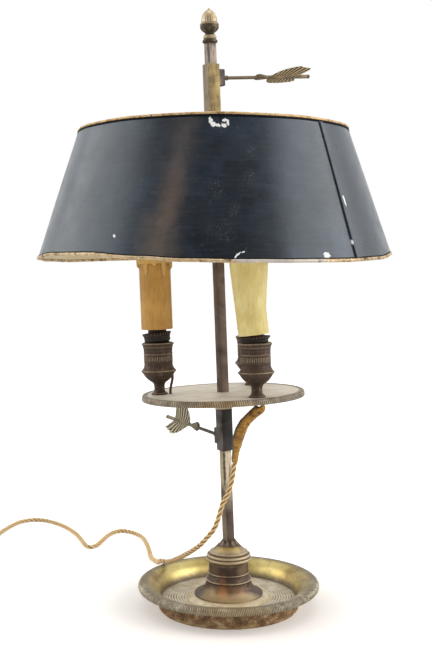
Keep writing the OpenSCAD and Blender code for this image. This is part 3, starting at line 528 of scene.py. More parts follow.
# Dish: greenish milled lip, polished yellow wall inside, olive floor
shader, place, worn = old_metal("dish_brass", "B4A890", "7A6E56", "ECE2CE", 60, 0.42, 0.5, 0.33)
parts = axes(object_place(shader))
radius = from_axis(parts)
wall = times(ramp(parts[2], 0.0112, 0.0175), ramp(radius, 0.0875, 0.0815))
wall = times(wall, facing(shader, 0, 0, 1, -0.1, 0.1))
wall = times(wall, sum_of("MULTIPLY_ADD", ramp(parts[1], -0.03, 0.045), 0.6, 0.4))
wall = times(wall, sum_of("MULTIPLY_ADD", ramp(speckle(place, 90, 5.0, 0.7), 0.3, 0.52), 0.45, 0.55))
gold = mix(ramp(speckle(place, 38, 5.0, 0.65), 0.4, 0.64), "9E8244", "D2BA72")
# The two paler gold patches at the back left and back right of the wall are painted highlights.
for at in ((-58, 58, 20), (46, 66, 20)):
    gold = mix(spot_mask(place, shift(*at), (26, 20, 16), 0.3, 60, 1.2), gold, "E4D288")
recolour(shader, wall, gold, 0.9)
feed(sum_of("MULTIPLY_ADD", wall, 0.5, 0.3), shader, "Metallic")
feed(sum_of("MULTIPLY_ADD", wall, -0.12, worn.outputs["Roughness"]), shader, "Roughness")
# A thin dark line in the corner of floor and wall: painted shade.
corner = times(ramp(radius, 0.0672, 0.0688), ramp(parts[2], 0.0155, 0.0108))
recolour(shader, corner, "64543E", 0.55)
floor_part = times(ramp(radius, 0.0692, 0.0685), facing(shader, 0, 0, 1, 0.3, 0.6))
recolour(shader, floor_part, mix(ramp(speckle(place, 80), 0.35, 0.65), "E2D2B0", "FCF4E2"), 0.7)
lines = ramp(sum_of("SINE", times(radius, 2300.0)), 0.2, -0.7)
lines = times(lines, ramp(speckle(place, 130, 4.0), 0.35, 0.6))
recolour(shader, times(lines, floor_part), "5C4C38", 0.7)
lip = ramp(radius, 0.085, 0.088)
dirt = ramp(speckle(place, 240, 4.0, 0.65), 0.55, 0.62)
recolour(shader, times(lip, dirt), "5E5442", 0.4)
front = spot_mask(place, shift(4, -92, 22), (44, 14, 10), 0.4, 120, 0.9)
recolour(shader, front, "8A723E", 0.45)

# Pedestal: brown bronze with lighter and darker patches, a painted warm reflection low in front, a painted highlight
# on its dome and bright edges on its rings
shader, place, worn = old_metal("pedestal_bronze", "7E6A56", "54433A", "CDB894", 55, 0.46, 0.4, 0.3)
# Patches laid over the pedestal, each a middle, reach, strength and colour. The two orange ones low in front are a
# painted warm reflection, and the gold band at 62 mm on the dome is a painted highlight. The others make it lighter
# or darker in places.
PEDESTAL_TONES_AND_HIGHLIGHTS = (
    ((-6, -28, 20.5), (4.6, 9, 5.4), 0.8, "E09050"), ((-6.5, -23, 30), (3.6, 8, 9), 0.45, "A8704A"),
    ((12, -28, 16), (32, 14, 4), 0.75, "DCC498"), ((-20, -22, 17), (12, 14, 5), 0.45, "B09A6E"),
    ((0, -14, 62), (16, 12, 2.2), 0.65, "D0B468"), ((0, 0, 42), (26, 26, 5), 0.6, "4E3C34"),
    ((16, -16, 41), (7, 9, 6), 0.5, "A08A68"), ((0, 0, 54), (27, 27, 7), 0.85, "EAD4AC"),
    ((-1, -27, 22), (22, 13, 7), 0.4, "AE865C"), ((-14, -14, 40), (5, 9, 6), 0.3, "8A6E58"),
)
for at, reach, strength, colour in PEDESTAL_TONES_AND_HIGHLIGHTS:
    patch = spot_mask(place, shift(*at), reach, 0.25, 200, 0.9)
    recolour(shader, patch, colour, strength)
height = axes(place)[2]
for z in (0.0281, 0.0354, 0.0478, 0.0527, 0.0562):
    groove = times(ramp(height, z - 0.0009, z), ramp(height, z + 0.0009, z))
    recolour(shader, groove, "241A13", 0.85)
for z in (0.0292, 0.0364, 0.0508, 0.0545, 0.0576):
    edge = times(ramp(height, z - 0.0008, z), ramp(height, z + 0.0008, z))
    edge = times(edge, ramp(speckle(place, 200), 0.4, 0.6))
    recolour(shader, edge, "E2CBA4", 0.55)

# Foot: rough casting with dark pits
shader, place, worn = old_metal("foot_casting", "BE9C74", "906E48", "E6CCA2", 60, 0.4, 0.6, 0.5, 0.12, 0.8)
height = axes(object_place(shader))[2]
pits = ramp(speckle(place, 330, 4.0, 0.6, (1, 1, 2.0)), 0.56, 0.62)
recolour(shader, pits, "33241A", sum_of("MULTIPLY_ADD", ramp(height, 0.004, 0.012), 0.5, 0.35))
rust = ramp(speckle(place, 90, 5.0, 0.65, (1, 1, 2.5)), 0.5, 0.66)
recolour(shader, rust, "8A5A36", 0.45)
shine = times(ramp(height, 0.0045, 0.0015), ramp(speckle(place, 120, 3.0), 0.4, 0.55))
recolour(shader, shine, "DCC290", 0.6)

# Stem: grey above the shade, brown below it, and rubbed pale on its left face under the tray
shader, place, worn = old_metal("stem_bronze", "5C4B42", "43352E", "857364", 60, 0.48, 0.25, 0.36,
                                stretch=(1, 1, 0.16))
height = axes(object_place(shader))[2]
recolour(shader, ramp(height, 0.52, 0.56),
         mix(ramp(speckle(place, 170, 5.0, 0.75), 0.42, 0.58), "4E433C", "AEA092"), 0.8)
rubbed = times(ramp(height, 0.165, 0.16), ramp(height, 0.098, 0.14))
rubbed = times(rubbed, ramp(speckle(place, 110, 4.0, 0.65), 0.6, 0.5))
recolour(shader, rubbed, mix(speckle(place, 500), "B8A484", "F2E6CC"), 0.9)
recolour(shader, times(rubbed, facing(shader, *LEFT_FACE)), "8A7860", 0.5)
streak = spot_mask(object_place(shader), on_stem(146) @ shift(-1.5, -6.2), (1.5, 3.5, 21), 0.9, 260, 0.5)
recolour(shader, streak, "3E3024", 0.85)
foot_end = times(ramp(height, 0.11, 0.09), facing(shader, *RIGHT_FACE))
recolour(shader, foot_end, "4A3E36", 0.35)
foot_end = times(ramp(height, 0.11, 0.09), facing(shader, *LEFT_FACE))
recolour(shader, foot_end, "A08F7A", 0.4)

# Slides: mottled yellow on the shade's, nearly black on the tray's
shader, place, worn = old_metal("sleeve_brass", "8C784C", "645538", "BAA269", 110, 0.45, 0.35, 0.34)
recolour(shader, facing(shader, *LEFT_FACE),
         mix(speckle(place, 160, 4.0, 0.6, (1, 1, 0.25)), "6A5E54", "948878"), 0.75)
old = speckle(place, 520, 4.0, 0.7, (1, 1, 0.12))
recolour(shader, ramp(old, 0.52, 0.6), "4A3A26", 0.55)
mottle = ramp(speckle(place, 260, 4.0, 0.65, (1, 1, 0.4)), 0.56, 0.64)
recolour(shader, mottle, "8A7A50", 0.4)
shader, place, worn = old_metal("sleeve_dark", "231E1C", "161312", "857C75", 80, 0.45, 0.12, 0.46, 0.25)
recolour(shader, facing(shader, *RIGHT_FACE), "100D0C", 0.7)

# Tray: pale top, a dark ring over the groove inside its rim that is painted shade with dirt, a brown-grey milled edge
# darker on its right as painted shade, and an ochre tint in front
shader, place, worn = old_metal("tray_brass", "A89C88", "786A5A", "D6CCB8", 80, 0.45, 0.5, 0.4)
local = add(shader, "Mapping", [(0, object_place(shader))], vector_type="TEXTURE")
tray_at = METRES @ on_tray()
put(local, Location=tray_at.translation, Rotation=on_tray().to_euler())
parts = axes(local.outputs[0])
radius = from_axis(parts)
top = times(facing(shader, 0, 0, 1, 0.5, 0.8), ramp(radius, 0.0812, 0.0802))
recolour(shader, top, mix(ramp(speckle(place, 60, 5.0, 0.65), 0.35, 0.65), "DED5C5", "F4F0E6"), 0.85)
# A dark ring over the groove inside the rim: painted shade in the groove, with dirt.
ring = times(ramp(radius, 0.0765, 0.0774), ramp(radius, 0.0812, 0.0804))
recolour(shader, ring, "5E5244", 0.6)
grime = ramp(speckle(place, 200, 4.0, 0.65), 0.52, 0.6)
recolour(shader, times(grime, ramp(radius, 0.0805, 0.0815)), "5E5344", 0.5)
shaded = spot_mask(place, shift(66, -40, 219), (34, 34, 8), 0.4, 90, 0.8)
shaded = times(shaded, ramp(radius, 0.0806, 0.0812))
recolour(shader, shaded, "7C746A", 0.5)
ochre = spot_mask(place, shift(-2, -82, 219), (30, 12, 6), 0.3, 150, 0.8)
recolour(shader, ochre, "B08C4C", 0.35)

# Shade: blue-black gloss with a painted warm reflection down one side, chipped to a pale ground
shader, place = blank("shade_paint")
cloud = speckle(place, 14, 5.0, 0.6)
colour = mix(ramp(cloud, 0.35, 0.68), "0A0D14", "18202C")
brushed = ramp(speckle(place, 620, 3.0, 0.6, (0.07, 0.07, 1)), 0.45, 0.7)
colour = mix(times(brushed, 0.14), colour, "46505E")
dim = ramp(speckle(place, 26, 4.0, 0.6), 0.5, 0.72)
colour = mix(times(dim, 0.2), colour, "46546A")
fine = ramp(speckle(place, 260, 3.0, 0.7), 0.63, 0.72)
colour = mix(times(fine, 0.12), colour, "8A8A88")


def on_cone(angle, z, lift=0.0):
    """A place on the shade's outside: X along it, Y outwards and Z up."""
    return on_shade() @ turn(angle) @ shift(cone_radius(z) + lift, 0, z) @ turn(-90)


# Bands of painted warm reflection down the front left of the shade: angle, height, half width, half height, lean,
# strength and colour.
WARM_REFLECTION_BANDS = (
    (-103, -60, 13, 85, -5, 0.14, "6E5A4A"), (-107, -114, 14, 26, -4, 0.21, "A08462"),
    (-103.5, -68, 9, 24, -4, 0.2, "A08068"), (-100.5, -14, 9, 26, -8, 0.1, "9A8C80"),
)
for angle, z, across, high, lean, strength, shade in WARM_REFLECTION_BANDS:
    brown = spot_mask(place, on_cone(angle, z) @ turn(lean, "Y"), (across, 40, high), 0.7, 70, 1.5)
    colour = mix(times(brown, strength), colour, shade)
specks = ramp(speckle(place, 1300, 2.0), 0.6, 0.68)
for angle, z, reach in ((-76.7, -29.5, 4), (-78.3, -51.7, 5), (-83.9, -80.5, 5), (-88.9, -62.8, 7),
                        (-86.6, -100, 8), (-90.8, -98, 5)):
    patch = spot_mask(place, on_cone(angle, z), (reach, 6, reach * 1.3), 0.4, 200, 0.8)
    colour = mix(times(times(patch, specks), 0.4), colour, "A8A49C")
put(shader, Roughness=0.34)
CHIPS = (
    (-90.9, -2.2, 1.7, 3.0, 8), (-90, -5.4, 2.2, 2.4, 20), (-88.2, -6.4, 2.6, 1.5, 0),
    (-86, -6.4, 2.4, 1.9, 0), (-84.5, -4, 1.2, 2.8, 0), (-85.6, -1.7, 2.4, 1.2, 10),
    (-121.2, -102.5, 1.3, 1.8, 30), (-42.1, -72.6, 1.3, 4.4, 5), (-55.7, -121, 3.2, 2.4, 0),
    (-84, -121.2, 0.6, 2.2, -30), (-83.1, -118.8, 0.6, 1.9, -48), (-81.9, -117.4, 0.5, 1.6, -70),
    (-80, -124.2, 7, 0.7, 0), (-44, -110, 0.7, 2, 0), (66, -40, 2, 1.3, 20), (140, -112, 3, 1.5, 10),
)
for angle, z, across, high, lean in CHIPS:
    chip = spot_mask(place, on_cone(angle, z) @ turn(lean, "Y"), (across, 6, high), 0.9, 520)
    colour = mix(times(chip, 0.96), colour, "F4F1EE")
for angle, z, across, high, shade in ((-87.1, 0.5, 1.9, 3.4, "0A0A0C"), (-86.2, -4, 1.3, 1.3, "5A4238")):
    notch = spot_mask(place, on_cone(angle, z), (across, 6, high), 0.4, 700)
    colour = mix(notch, colour, shade)
place_in_shade = add(shader, "VectorMath", [(0, place)], operation="SUBTRACT")
place_in_shade.inputs[1].default_value = (METRES @ on_shade()).translation
flat = add(shader, "VectorMath", [(0, place_in_shade.outputs[0])], operation="MULTIPLY")
flat.inputs[1].default_value = (1, 1, 0)
outwards = add(shader, "VectorMath", [(0, flat.outputs[0]), (1, add(shader, "TexCoord").outputs["Normal"])],
               operation="DOT_PRODUCT")
inside = ramp(outwards.outputs["Value"], 0.0, -0.02)
cream = mix(ramp(speckle(place, 22, 5.0, 0.65), 0.35, 0.7), "E2D2AC", "C8AE7C")
colour = mix(inside, colour, cream)
feed(colour, shader, "Base Color")
put(shader, Specular_Tint=(0.76, 0.89, 1.0, 1.0), Coat_Weight=0.35, Coat_Roughness=0.3,
    Coat_Tint=(0.9, 0.96, 1.0, 1.0))
feed(sum_of("MULTIPLY_ADD", speckle(place, 45, 5.0, 0.65), 0.5, 0.08), shader, "Roughness")
bump(shader, sum_of("ADD", cloud, times(speckle(place, 420, 3.0), 0.12)), 0.3, 0.0012)

# Gilding on the shade's wires, worn to dark and to a whitened stretch in front, and a dark line of painted shade on
# the sheet beside each wire
for name in ("gilt_top", "gilt_bottom"):
    shader, place = blank(name)
    broken = speckle(place, 110, 4.0, 0.65)
    leaf, bole = ("CCAC7C", "9C7648") if name == "gilt_top" else ("C4AA84", "6E5434")
    colour = mix(ramp(broken, 0.48, 0.62), leaf, bole)
    colour = mix(ramp(speckle(place, 300, 3.0), 0.6, 0.68), colour, "E8DCC2")
    if name == "gilt_bottom":
        bare = spot_mask(place, on_cone(-71, -125), (42, 14, 8), 0.8, 160)
        colour = mix(times(bare, 0.7), colour, "CAC6C2")
        bare = spot_mask(place, on_cone(-128, -125), (80, 24, 8), 0.6, 90)
        colour = mix(times(bare, 0.35), colour, "DCC8A4")
    else:
        bare = spot_mask(place, on_cone(-87, 5), (3.2, 8, 5), 0.2, 500)
        colour = mix(times(bare, 0.5), colour, "5A4630")
    # The ring marked one beside each wire is painted shade: a dark, dull line on the sheet along the rolled edge.
    band = ramp(mark(shader), 0.5, 0.6)
    colour = mix(band, colour, mix(broken, "050506", "14161A"))
    feed(colour, shader, "Base Color")
    feed(sum_of("MULTIPLY_ADD", band, -0.35, 0.35), shader, "Metallic")
    feed(sum_of("MULTIPLY_ADD", band, 0.4, 0.42), shader, "Roughness")
    put(shader, Specular_IOR_Level=0.15)
    bump(shader, broken, 0.3, 0.0004)

# Acorn nut: cream brass, browner between its ribs and round its foot
shader, place, worn = old_metal("acorn_nut", "E6DABE", "B49E78", "FFFCF2", 130, 0.36, 0.55, 0.26)
ribs = ramp(mark(shader), 0.02, -0.09)
recolour(shader, ribs, "8A6C48", 0.4)

# Candle sleeves: waxy card, amber on the left and pale yellow on the others
for name, deep, pale, streak in (("amber_sleeve", "AC7C34", "C89A4C", "8C6226"),
                                 ("pale_sleeve", "DAC67A", "EEDF9E", "C6B060")):
    shader, place = blank(name)
    cloud = speckle(place, 35, 4.0, 0.55)
    grain = speckle(place, 300, 4.0, 0.6, (1, 1, 0.2))
    colour = mix(ramp(cloud, 0.35, 0.65), deep, pale)
    colour = mix(times(ramp(grain, 0.5, 0.72), 0.5), colour, streak)
    drips = ramp(mark(shader), 0.3, 1.6)
    colour = mix(times(drips, 0.5), colour, "E2BE74")
    rim = mark(shader)
    rim = times(ramp(rim, 0.25, 0.5), ramp(rim, 1.5, 1.0))
    colour = mix(times(rim, 0.6), colour, "7A5620")
    feed(colour, shader, "Base Color")
    put(shader, Roughness=0.5, Subsurface_Weight=0.12, Subsurface_Radius=(0.004, 0.003, 0.0015))
    bump(shader, grain, 0.2, 0.0003)

shader, place = blank("holder_card")
card = speckle(place, 260, 4.0, 0.65, (1, 1, 0.3))
feed(mix(ramp(card, 0.35, 0.7), "2A1410", "4E2418"), shader, "Base Color")
put(shader, Roughness=0.7)
bump(shader, card, 0.3)

shader, place = blank("bulb_glass")
frost = speckle(place, 500, 3.0)
feed(mix(frost, "F1EFE6", "FCFBF6"), shader, "Base Color")
feed(sum_of("MULTIPLY_ADD", frost, 0.15, 0.28), shader, "Roughness")
put(shader, Transmission_Weight=0.6, IOR=1.45)

shader, place = blank("wire_rubber")
dull = speckle(place, 350, 3.0)
feed(mix(dull, "33190F", "6E3A22"), shader, "Base Color")
put(shader, Roughness=0.6)
bump(shader, dull, 0.2)

shader, place = blank("plug_moulding")
mould = speckle(place, 240, 4.0, 0.6)
feed(mix(ramp(mould, 0.3, 0.75), "1E100B", "3A2015"), shader, "Base Color")
feed(sum_of("MULTIPLY_ADD", mould, 0.2, 0.25), shader, "Roughness")
bump(shader, mould, 0.15)

# Cord: three strands of gold thread laid together, with painted shade in the hollows between them and fine yarn
# across them
shader, place = blank("cord_thread")
laid = axes(add(shader, "UVMap", uv_map="along").outputs[0])
hollow = mark(shader)
yarn = sum_of("SINE", sum_of("ADD", times(laid[1], 9000.0), times(laid[0], 37.7)))
colour = mix(ramp(yarn, -0.6, 0.9), "D0A056", "FFEDBE")
colour = mix(ramp(speckle(place, 160, 4.0), 0.45, 0.7), colour, "E4B45C")
# Dark brown in the hollows between the strands is painted shade.
colour = mix(times(ramp(hollow, 0.25, 0.7), 0.94), colour, "4E2E0E")
feed(colour, shader, "Base Color")
put(shader, Roughness=0.62, Sheen_Weight=0.3)
bump(shader, sum_of("ADD", yarn, speckle(place, 900, 3.0)), 0.35, 0.0003)

# Cover: ochre tape wound round the cord, dark where it laps, with painted shade down its left side
shader, place = blank("cover_tape")
laid = axes(add(shader, "UVMap", uv_map="along").outputs[0])
weft = sum_of("SINE", times(laid[1], 330.0))
cloud = speckle(place, 150, 5.0, 0.65)
colour = mix(ramp(cloud, 0.38, 0.6), "7E541A", "D49A34")
colour = mix(times(ramp(weft, 0.5, 1.0), 0.45), colour, "5C5230")
threads = ramp(speckle(place, 700, 2.0, 0.5, (0.35, 0.35, 1.6)), 0.55, 0.63)
colour = mix(times(threads, 0.6), colour, "3E2A14")
glint = ramp(speckle(place, 420, 3.0), 0.6, 0.68)
colour = mix(times(glint, 0.5), colour, "F2C468")
hollow = mark(shader)
colour = mix(times(ramp(hollow, 0.4, 1.0), 0.7), colour, "5A3E1C")
# Darker on the side that faces left: painted shade.
colour = mix(times(facing(shader, -0.9, 0.0, 0.1, 0.5, 0.85), 0.9), colour, "2C2116")
feed(colour, shader, "Base Color")
put(shader, Roughness=0.75, Sheen_Weight=0.25)
bump(shader, sum_of("ADD", weft, cloud), 0.4, 0.0004)


# ---- Cord, from inside its cover to the plug ----
COVER_ROUTE = [(30, -34, 212.5), (30, -34, 210.5), (22.6, -33, 204), (14.4, -30, 194), (9.4, -26, 181),
               (7.2, -22, 168)]
COVER_SIZES = [(0, 5.0), (2, 5.4), (8, 5.2), (14, 4.8), (22, 5.2), (32, 5.7), (42, 5.5), (49, 5.1), (51.5, 4.9),
               (53, 3.9), (58, 3.5), (64, 3.3), (66, 2.9)]
# It hangs clear of the pedestal, so that it still does when the tray is let down
DROP_ROUTE = [(5.4, -23.5, 152.3), (2.8, -29.5, 137.6), (-1.2, -33, 125.1), (-6.2, -34.5, 115.9),
              (-9.1, -35, 106.3), (-12, -35, 96.7), (-15.9, -34, 88.2), (-21.8, -31, 80.4), (-29.6, -24, 70.3),
              (-41.5, -5, 57), (-52.7, 22, 43.6), (-63, 45, 33.5)]
FLOOR_ROUTE = [(-70, 56, 30.4), (-74, 65, 28), (-76, 78, 22.8), (-79, 100, 16.5), (-85, 135, 8.5),
               (-90, 166, 3.2), (-94.5, 199, 2.7), (-100, 230, 2.6), (-106, 253, 2.5), (-116, 272, 2.5),
               (-130, 284, 2.5), (-141, 281, 2.5), (-150, 263, 2.5), (-156, 234, 2.5), (-160, 216, 2.5),
               (-167, 209, 2.5), (-174, 219, 2.5), (-181, 239, 2.5), (-192, 270, 2.5), (-212, 307, 2.5),
               (-236, 334, 2.5), (-256, 341, 2.5), (-273, 330, 2.5), (-283, 305, 2.5), (-290, 271, 2.6)]
TAIL_ROUTE = [(-358.6, 246, 8.3), (-359.4, 256, 9.8), (-360, 267, 12.2), (-360, 274.9, 12.5)]
CORD_R, STRAND_PITCH = 2.7, 20
COIL_AT = (-326, 236)


def between(marks, at):
    """The value at a place, from marks given as place and value."""
    for (a, p), (b, q) in zip(marks, marks[1:]):
        if at <= b:
            return p + (q - p) * (at - a) / (b - a)
    return marks[-1][1]


def coil_turns():
    """Two layers of three turns lying on the floor, going clockwise, with the way up between them."""
    wide = [(0, 32.8), (270, 32.8), (360, 27.5), (630, 27.5), (720, 22.2), (1260, 22.2), (1350, 27.5),
            (1620, 27.5), (1710, 32.8), (1980, 32.8)]
    high = [(0, 3), (900, 3), (990, 8.2), (1980, 8.2)]
    turns = []
    for angle in range(0, 1986, 6):
        a, r = math.radians(angle), between(wide, angle)
        turns.append((COIL_AT[0] + r * math.cos(a), COIL_AT[1] - r * math.sin(a), between(high, angle)))
    return turns


cord_path = evenly(smooth_route(COVER_ROUTE[4:] + DROP_ROUTE + FLOOR_ROUTE + coil_turns() + TAIL_ROUTE, 8), 0.9)


def three_strands(run, angle):
    """Three round strands laid together. The mark is one in the hollows between them."""
    strand = off = 0.5 * CORD_R
    near = (angle + math.pi / 3) % (2 * math.pi / 3) - math.pi / 3
    r = off * math.cos(near) + math.sqrt(strand ** 2 - (off * math.sin(near)) ** 2)
    return r * (1 + 0.025 * rough(run * 0.12, angle, 0) + 0.03 * rough(run * 0.5, angle, 4)), (
        (CORD_R - r) / (CORD_R - strand))


for p in cord_path:
    p.z = max(p.z, CORD_R + 0.1)
cord = keep(swept(cord_path, three_strands, 21, 2 * math.pi / STRAND_PITCH), "cord", "cord_thread", None, sharp=None)

cover_path = evenly(smooth_route(COVER_ROUTE + [(5.6, -23.2, 154.6)], 10), 0.35)


def wound_tape(run, angle):
    """Tape wound round the cord, a lap every 2.2 mm."""
    r = between(COVER_SIZES, run)
    lap = (run / 2.2 + angle / (2 * math.pi)) % 1.0
    soft = rough(run * 0.16, math.cos(angle) * 0.9, math.sin(angle) * 0.9)
    return r * (1 + 0.07 * soft) + 0.4 * math.sin(math.pi * lap) ** 0.6 - 0.3, max(0.0, 1 - 5 * min(lap, 1 - lap))


cover = keep(swept(cover_path, wound_tape, 40), "cord_cover_tape", "cover_tape", "tray", ("cord_cover",), sharp=None)

over_coil = shift(*COIL_AT) @ turn(225) @ shift(x=27.5)
tie_path = [(1.8, -1.2, 14.6), (0.7, -0.8, 12.3), (-0.8, -0.6, 11.5), (-6, -0.3, 11.3), (-8.1, -0.1, 9),
            (-8.1, 0, 3), (-6.5, 0, 0.65), (6.5, 0, 0.65), (8.1, 0, 3), (8.1, 0.1, 9), (6, 0.3, 11.3),
            (0.8, 0.6, 11.5), (-0.7, 0.8, 12.3), (-1.8, 1.2, 14.6)]
tie = keep(swept(evenly(smooth_route(tie_path, 6), 0.5), lambda run, angle: (0.62 + 0.05 * math.sin(run * 4), 0), 12),
           "coil_tie", "wire_rubber", "base", ("cord_tie",), over_coil, sharp=None)

at_plug = shift(-360, 275, 12.5) @ turn(-90, "X")


def plug_grip(r, angle, z):
    """Finger ribs round the plug's waist, and a part line."""
    ribs = -0.35 * (0.5 + 0.5 * math.cos(22 * angle)) if 15.5 < z < 27.5 and r > 10 else 0
    return ribs - 0.2 * (abs(math.sin(angle)) < 0.03 and z > 3)


plug = keep(spun([(0, 0), (4.1, 0), (4.7, 3)] + curve((4.9, 4), (11.5, 6), (11.9, 13.5), 9) + [(12.5, 15)]
                 + finer([(12.5, 15.4), (12.5, 28.6)], 0.8) + arc((11.5, 29), 1, 0, 90, 4)
                 + [(4, 30), (3.4, 29.2), (0, 29.2)], 176, plug_grip),
            "plug_moulded_body", "plug_moulding", "base", ("plug_body",), at_plug)

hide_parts("cord_drop", "cord_floor", "cord_coil", "cord_tail")
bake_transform(cord, "base", "tray", start=(-0.063, 0.045, 0.0335), end=(0.0056, -0.0232, 0.154))


# ---- Pieces left as they are cut, with softened edges ----
def soften(node, finish, edge):
    """Gives a cut piece its finish and rounds its edges, where they are sharper than 40 degrees."""
    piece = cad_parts[node]
    piece.data.materials.clear()
    piece.data.materials.append(FINISH[finish])
    weld = piece.modifiers.new("weld", "WELD")
    weld.merge_threshold = 0.00001
    bevel = piece.modifiers.new("edges", "BEVEL")
    bevel.width, bevel.segments, bevel.limit_method = edge, 2, "ANGLE"
    bevel.angle_limit = math.radians(40)


for finish, edge, nodes in (("screw_brass", 0.0004, ("plug_pins", "base_nut")),
                            ("screw_brass", 0.0003, ("base_washer", "cup_screws", "bulb_caps")),
                            ("cast_iron", 0.0008, ("base_weight",)), ("frame_brass", 0.0004, ("shade_frame",)),
                            ("holder_card", 0.0004, ("left_lamp_holder", "right_lamp_holder", "back_lamp_holder"))):
    for node in nodes:
        soften(node, finish, edge)


# ---- Foot ----
def around(r, angle, z, scale):
    return rough(r * math.cos(angle), r * math.sin(angle), z, scale)


def dull_cast(depth=0.06, scale=0.3):
    """The slight unevenness of a cast or turned surface."""
    return lambda r, angle, z: depth * around(r, angle, z, scale)


def upper(drop, inward):
    return (curve((69 + inward, 10 - drop), (72 + inward, 20.2 - drop), (77 + inward, 23.2 - drop), 7)
            + curve((77 + inward, 23.2 - drop), (83, 27.2 - drop), (89, 27.2 - drop), 5))


def milled_dish(r, angle, z):
    """Slanting ribs on the rolled lip, and turned rings on the floor."""
    if r > 89.5 and z > 18.8:
        fade = min(1, (r - 89.5) / 1.2, (z - 18.8) / 1.5)
        return fade * (0.24 * math.cos(330 * angle + (z - 23) * 0.9) + 0.12 * around(r, angle, z, 0.25))
    return 0.03 * around(r, angle, z, 0.15)


def turned_rings(r, angle, z):
    if z <= 9:
        return 0
    return (0.2 * math.sin(r * 2.3) + 0.07 * around(r, angle, z, 0.25)) * min(1, (r - 42.8) / 2, (69.6 - r) / 1.5)


dish = ([(4.1, 10), (43, 10), (56, 10)] + upper(0, 0) + arc((89, 23.2), 4, 78, -90, 18)
        + list(reversed(upper(1.6, 1.2)[:-1])) + [(4.1, 8.4)])
rings = [(42.8, 9.5)] + finer([(42.8, 10.04), (69.2, 10.04)], 0.45) + [(69.2, 9.5)]
keep(join(spun(dish, 1200, milled_dish, closed=True), spun(rings, 256, turned_rings, closed=True)),
     "foot_dish", "dish_brass", "base", ("base_dish",), sharp=50)


def cast_surface(r, angle, z):
    lumps = 0.3 * around(r, angle, z, 0.16) + 0.22 * around(r, angle, z * 1.6, 0.5)
    return lumps * (0.25 if z < 1.5 else 1) if r > (72.3 if z > 8 else 69) else 0


casting = finer([(66, 0), (70.8, 0), (72, 1.4), (73, 14.8), (73.2, 15.9), (72.7, 15.1), (71.9, 13.4),
                 (71.2, 11.8), (70.6, 10.2), (70.1, 8.6), (66, 8.6), (66, 0)], 1.1)
keep(spun(casting[:-1], 420, cast_surface, closed=True), "foot_casting_ring", "foot_casting", "base",
     ("foot_ring",), sharp=None)

flange = ([(4.1, 10), (43.5, 10)] + arc((42.7, 10.8), 0.8, 0, 90, 4) + [(41, 11.8)]
          + curve((41, 11.8), (40.6, 13.4), (35.6, 13.4), 6) + [(4.1, 13.4)])
keep(spun(finer(flange, 0.7), 200,
          lambda r, a, z: 0.05 * around(r, a, z, 0.2) + 0.06 * math.sin(r * 2.9) * (z > 11), closed=True),
     "foot_flange", "olive_brass", "base", ("pedestal_flange",))


# ---- Pedestal and its leafy collar ----
def bell(r, angle, z):
    """Raised fillets on the turned bell, and the slight unevenness of a casting."""
    for low, high, rise in ((28.6, 29.8, 0.16), (35.9, 36.9, 0.16), (49.2, 52.6, 0.12), (53.2, 55.4, 0.1),
                            (56.8, 58.4, 0.1)):
        if low < z < high:
            return rise
    return 0.09 * around(r, angle, z, 0.12) - 0.02


pedestal = finer([(0, 13.4), (35, 13.4)] + curve((35, 15), (24, 16.9), (23.1, 28.3), 12)
                 + arc((22.9, 29.1), 0.8, -60, 60, 6)
                 + curve((21.9, 30.1), (20.7, 31.7), (20.3, 35.5), 6) + arc((20.5, 36.3), 0.7, -70, 70, 5)
                 + [(20.3, 37.2), (20.3, 47.4)] + curve((20.3, 47.4), (20.5, 48.2), (21.7, 48.6), 4)
                 + arc((21.2, 50.8), 2.2, -80, 70, 10) + arc((20.3, 54.2), 2, -40, 80, 8) + [(19.5, 56.6)]
                 + arc((18.5, 57.6), 1, -60, 85, 6) + curve((17.3, 58.8), (16.7, 59.2), (15.9, 60.2), 4)
                 + curve((15.9, 60.2), (12.8, 63), (11.2, 65), 6) + [(0, 65)], 1.6)
keep(spun(pedestal, 220, bell), "pedestal_bell", "pedestal_bronze", "base", ("pedestal",), sharp=45)


def leaves(count, low, high, rise, lean=0.0, sharpness=1.0):
    """Pointed leaves side by side round a band, with a vein down each."""
    def lift(r, angle, z):
        if not low < z < high:
            return 0.0
        up = (z - low) / (high - low)
        across = abs(((angle + lean * up) * count / (2 * math.pi)) % 1.0 - 0.5) * 2
        body = 1 - (across / (1.02 - 0.75 * up ** 2)) ** 2
        vein = 0.35 * max(0, 1 - across * 9)
        return rise * (body if body > 0 else -0.45) * sharpness - rise * vein * (body > 0)
    return lift


collar = [(0, 0), (10.6, 0)] + curve((10.6, 0), (8.6, 1.6), (7.2, 4.5), 12) + [(0, 4.5)]
keep(spun(collar, 240, lambda r, a, z: leaves(9, -0.4, 5.2, 0.13)(r, a, z) if r > 7 else 0), "pedestal_leaf_collar",
     "cup_bronze", "base", ("pedestal_collar",), on_stem(65), sharp=None)


# ---- Stem, slides and bosses ----
def dented(bm, side, step, depth=0.04, along=2):
    """Cuts a square bar across every step and rubs its corners down unevenly."""
    zs = [v.co[along] for v in bm.verts]
    axis = Vector([float(k == along) for k in range(3)])
    for k in range(1, int((max(zs) - min(zs)) / step)):
        bmesh.ops.bisect_plane(bm, geom=bm.verts[:] + bm.edges[:] + bm.faces[:], plane_co=axis * (min(zs) + k * step),
                               plane_no=axis)
    marks = bm.verts.layers.float.new("relief")
    for v in bm.verts:
        flat = [c for k, c in enumerate(v.co) if k != along]
        if min(abs(c) for c in flat) > side / 2 - 1.2:
            worn = noise.noise(v.co * 0.11 + Vector((side, 0, 0))) + 0.4 * noise.noise(v.co * 0.6)
            v[marks] = 0.14 + 0.16 * worn
            pull = depth * max(0.0, worn)
            for k in range(3):
                if k != along:
                    v.co[k] -= math.copysign(pull, v.co[k])
    return bm


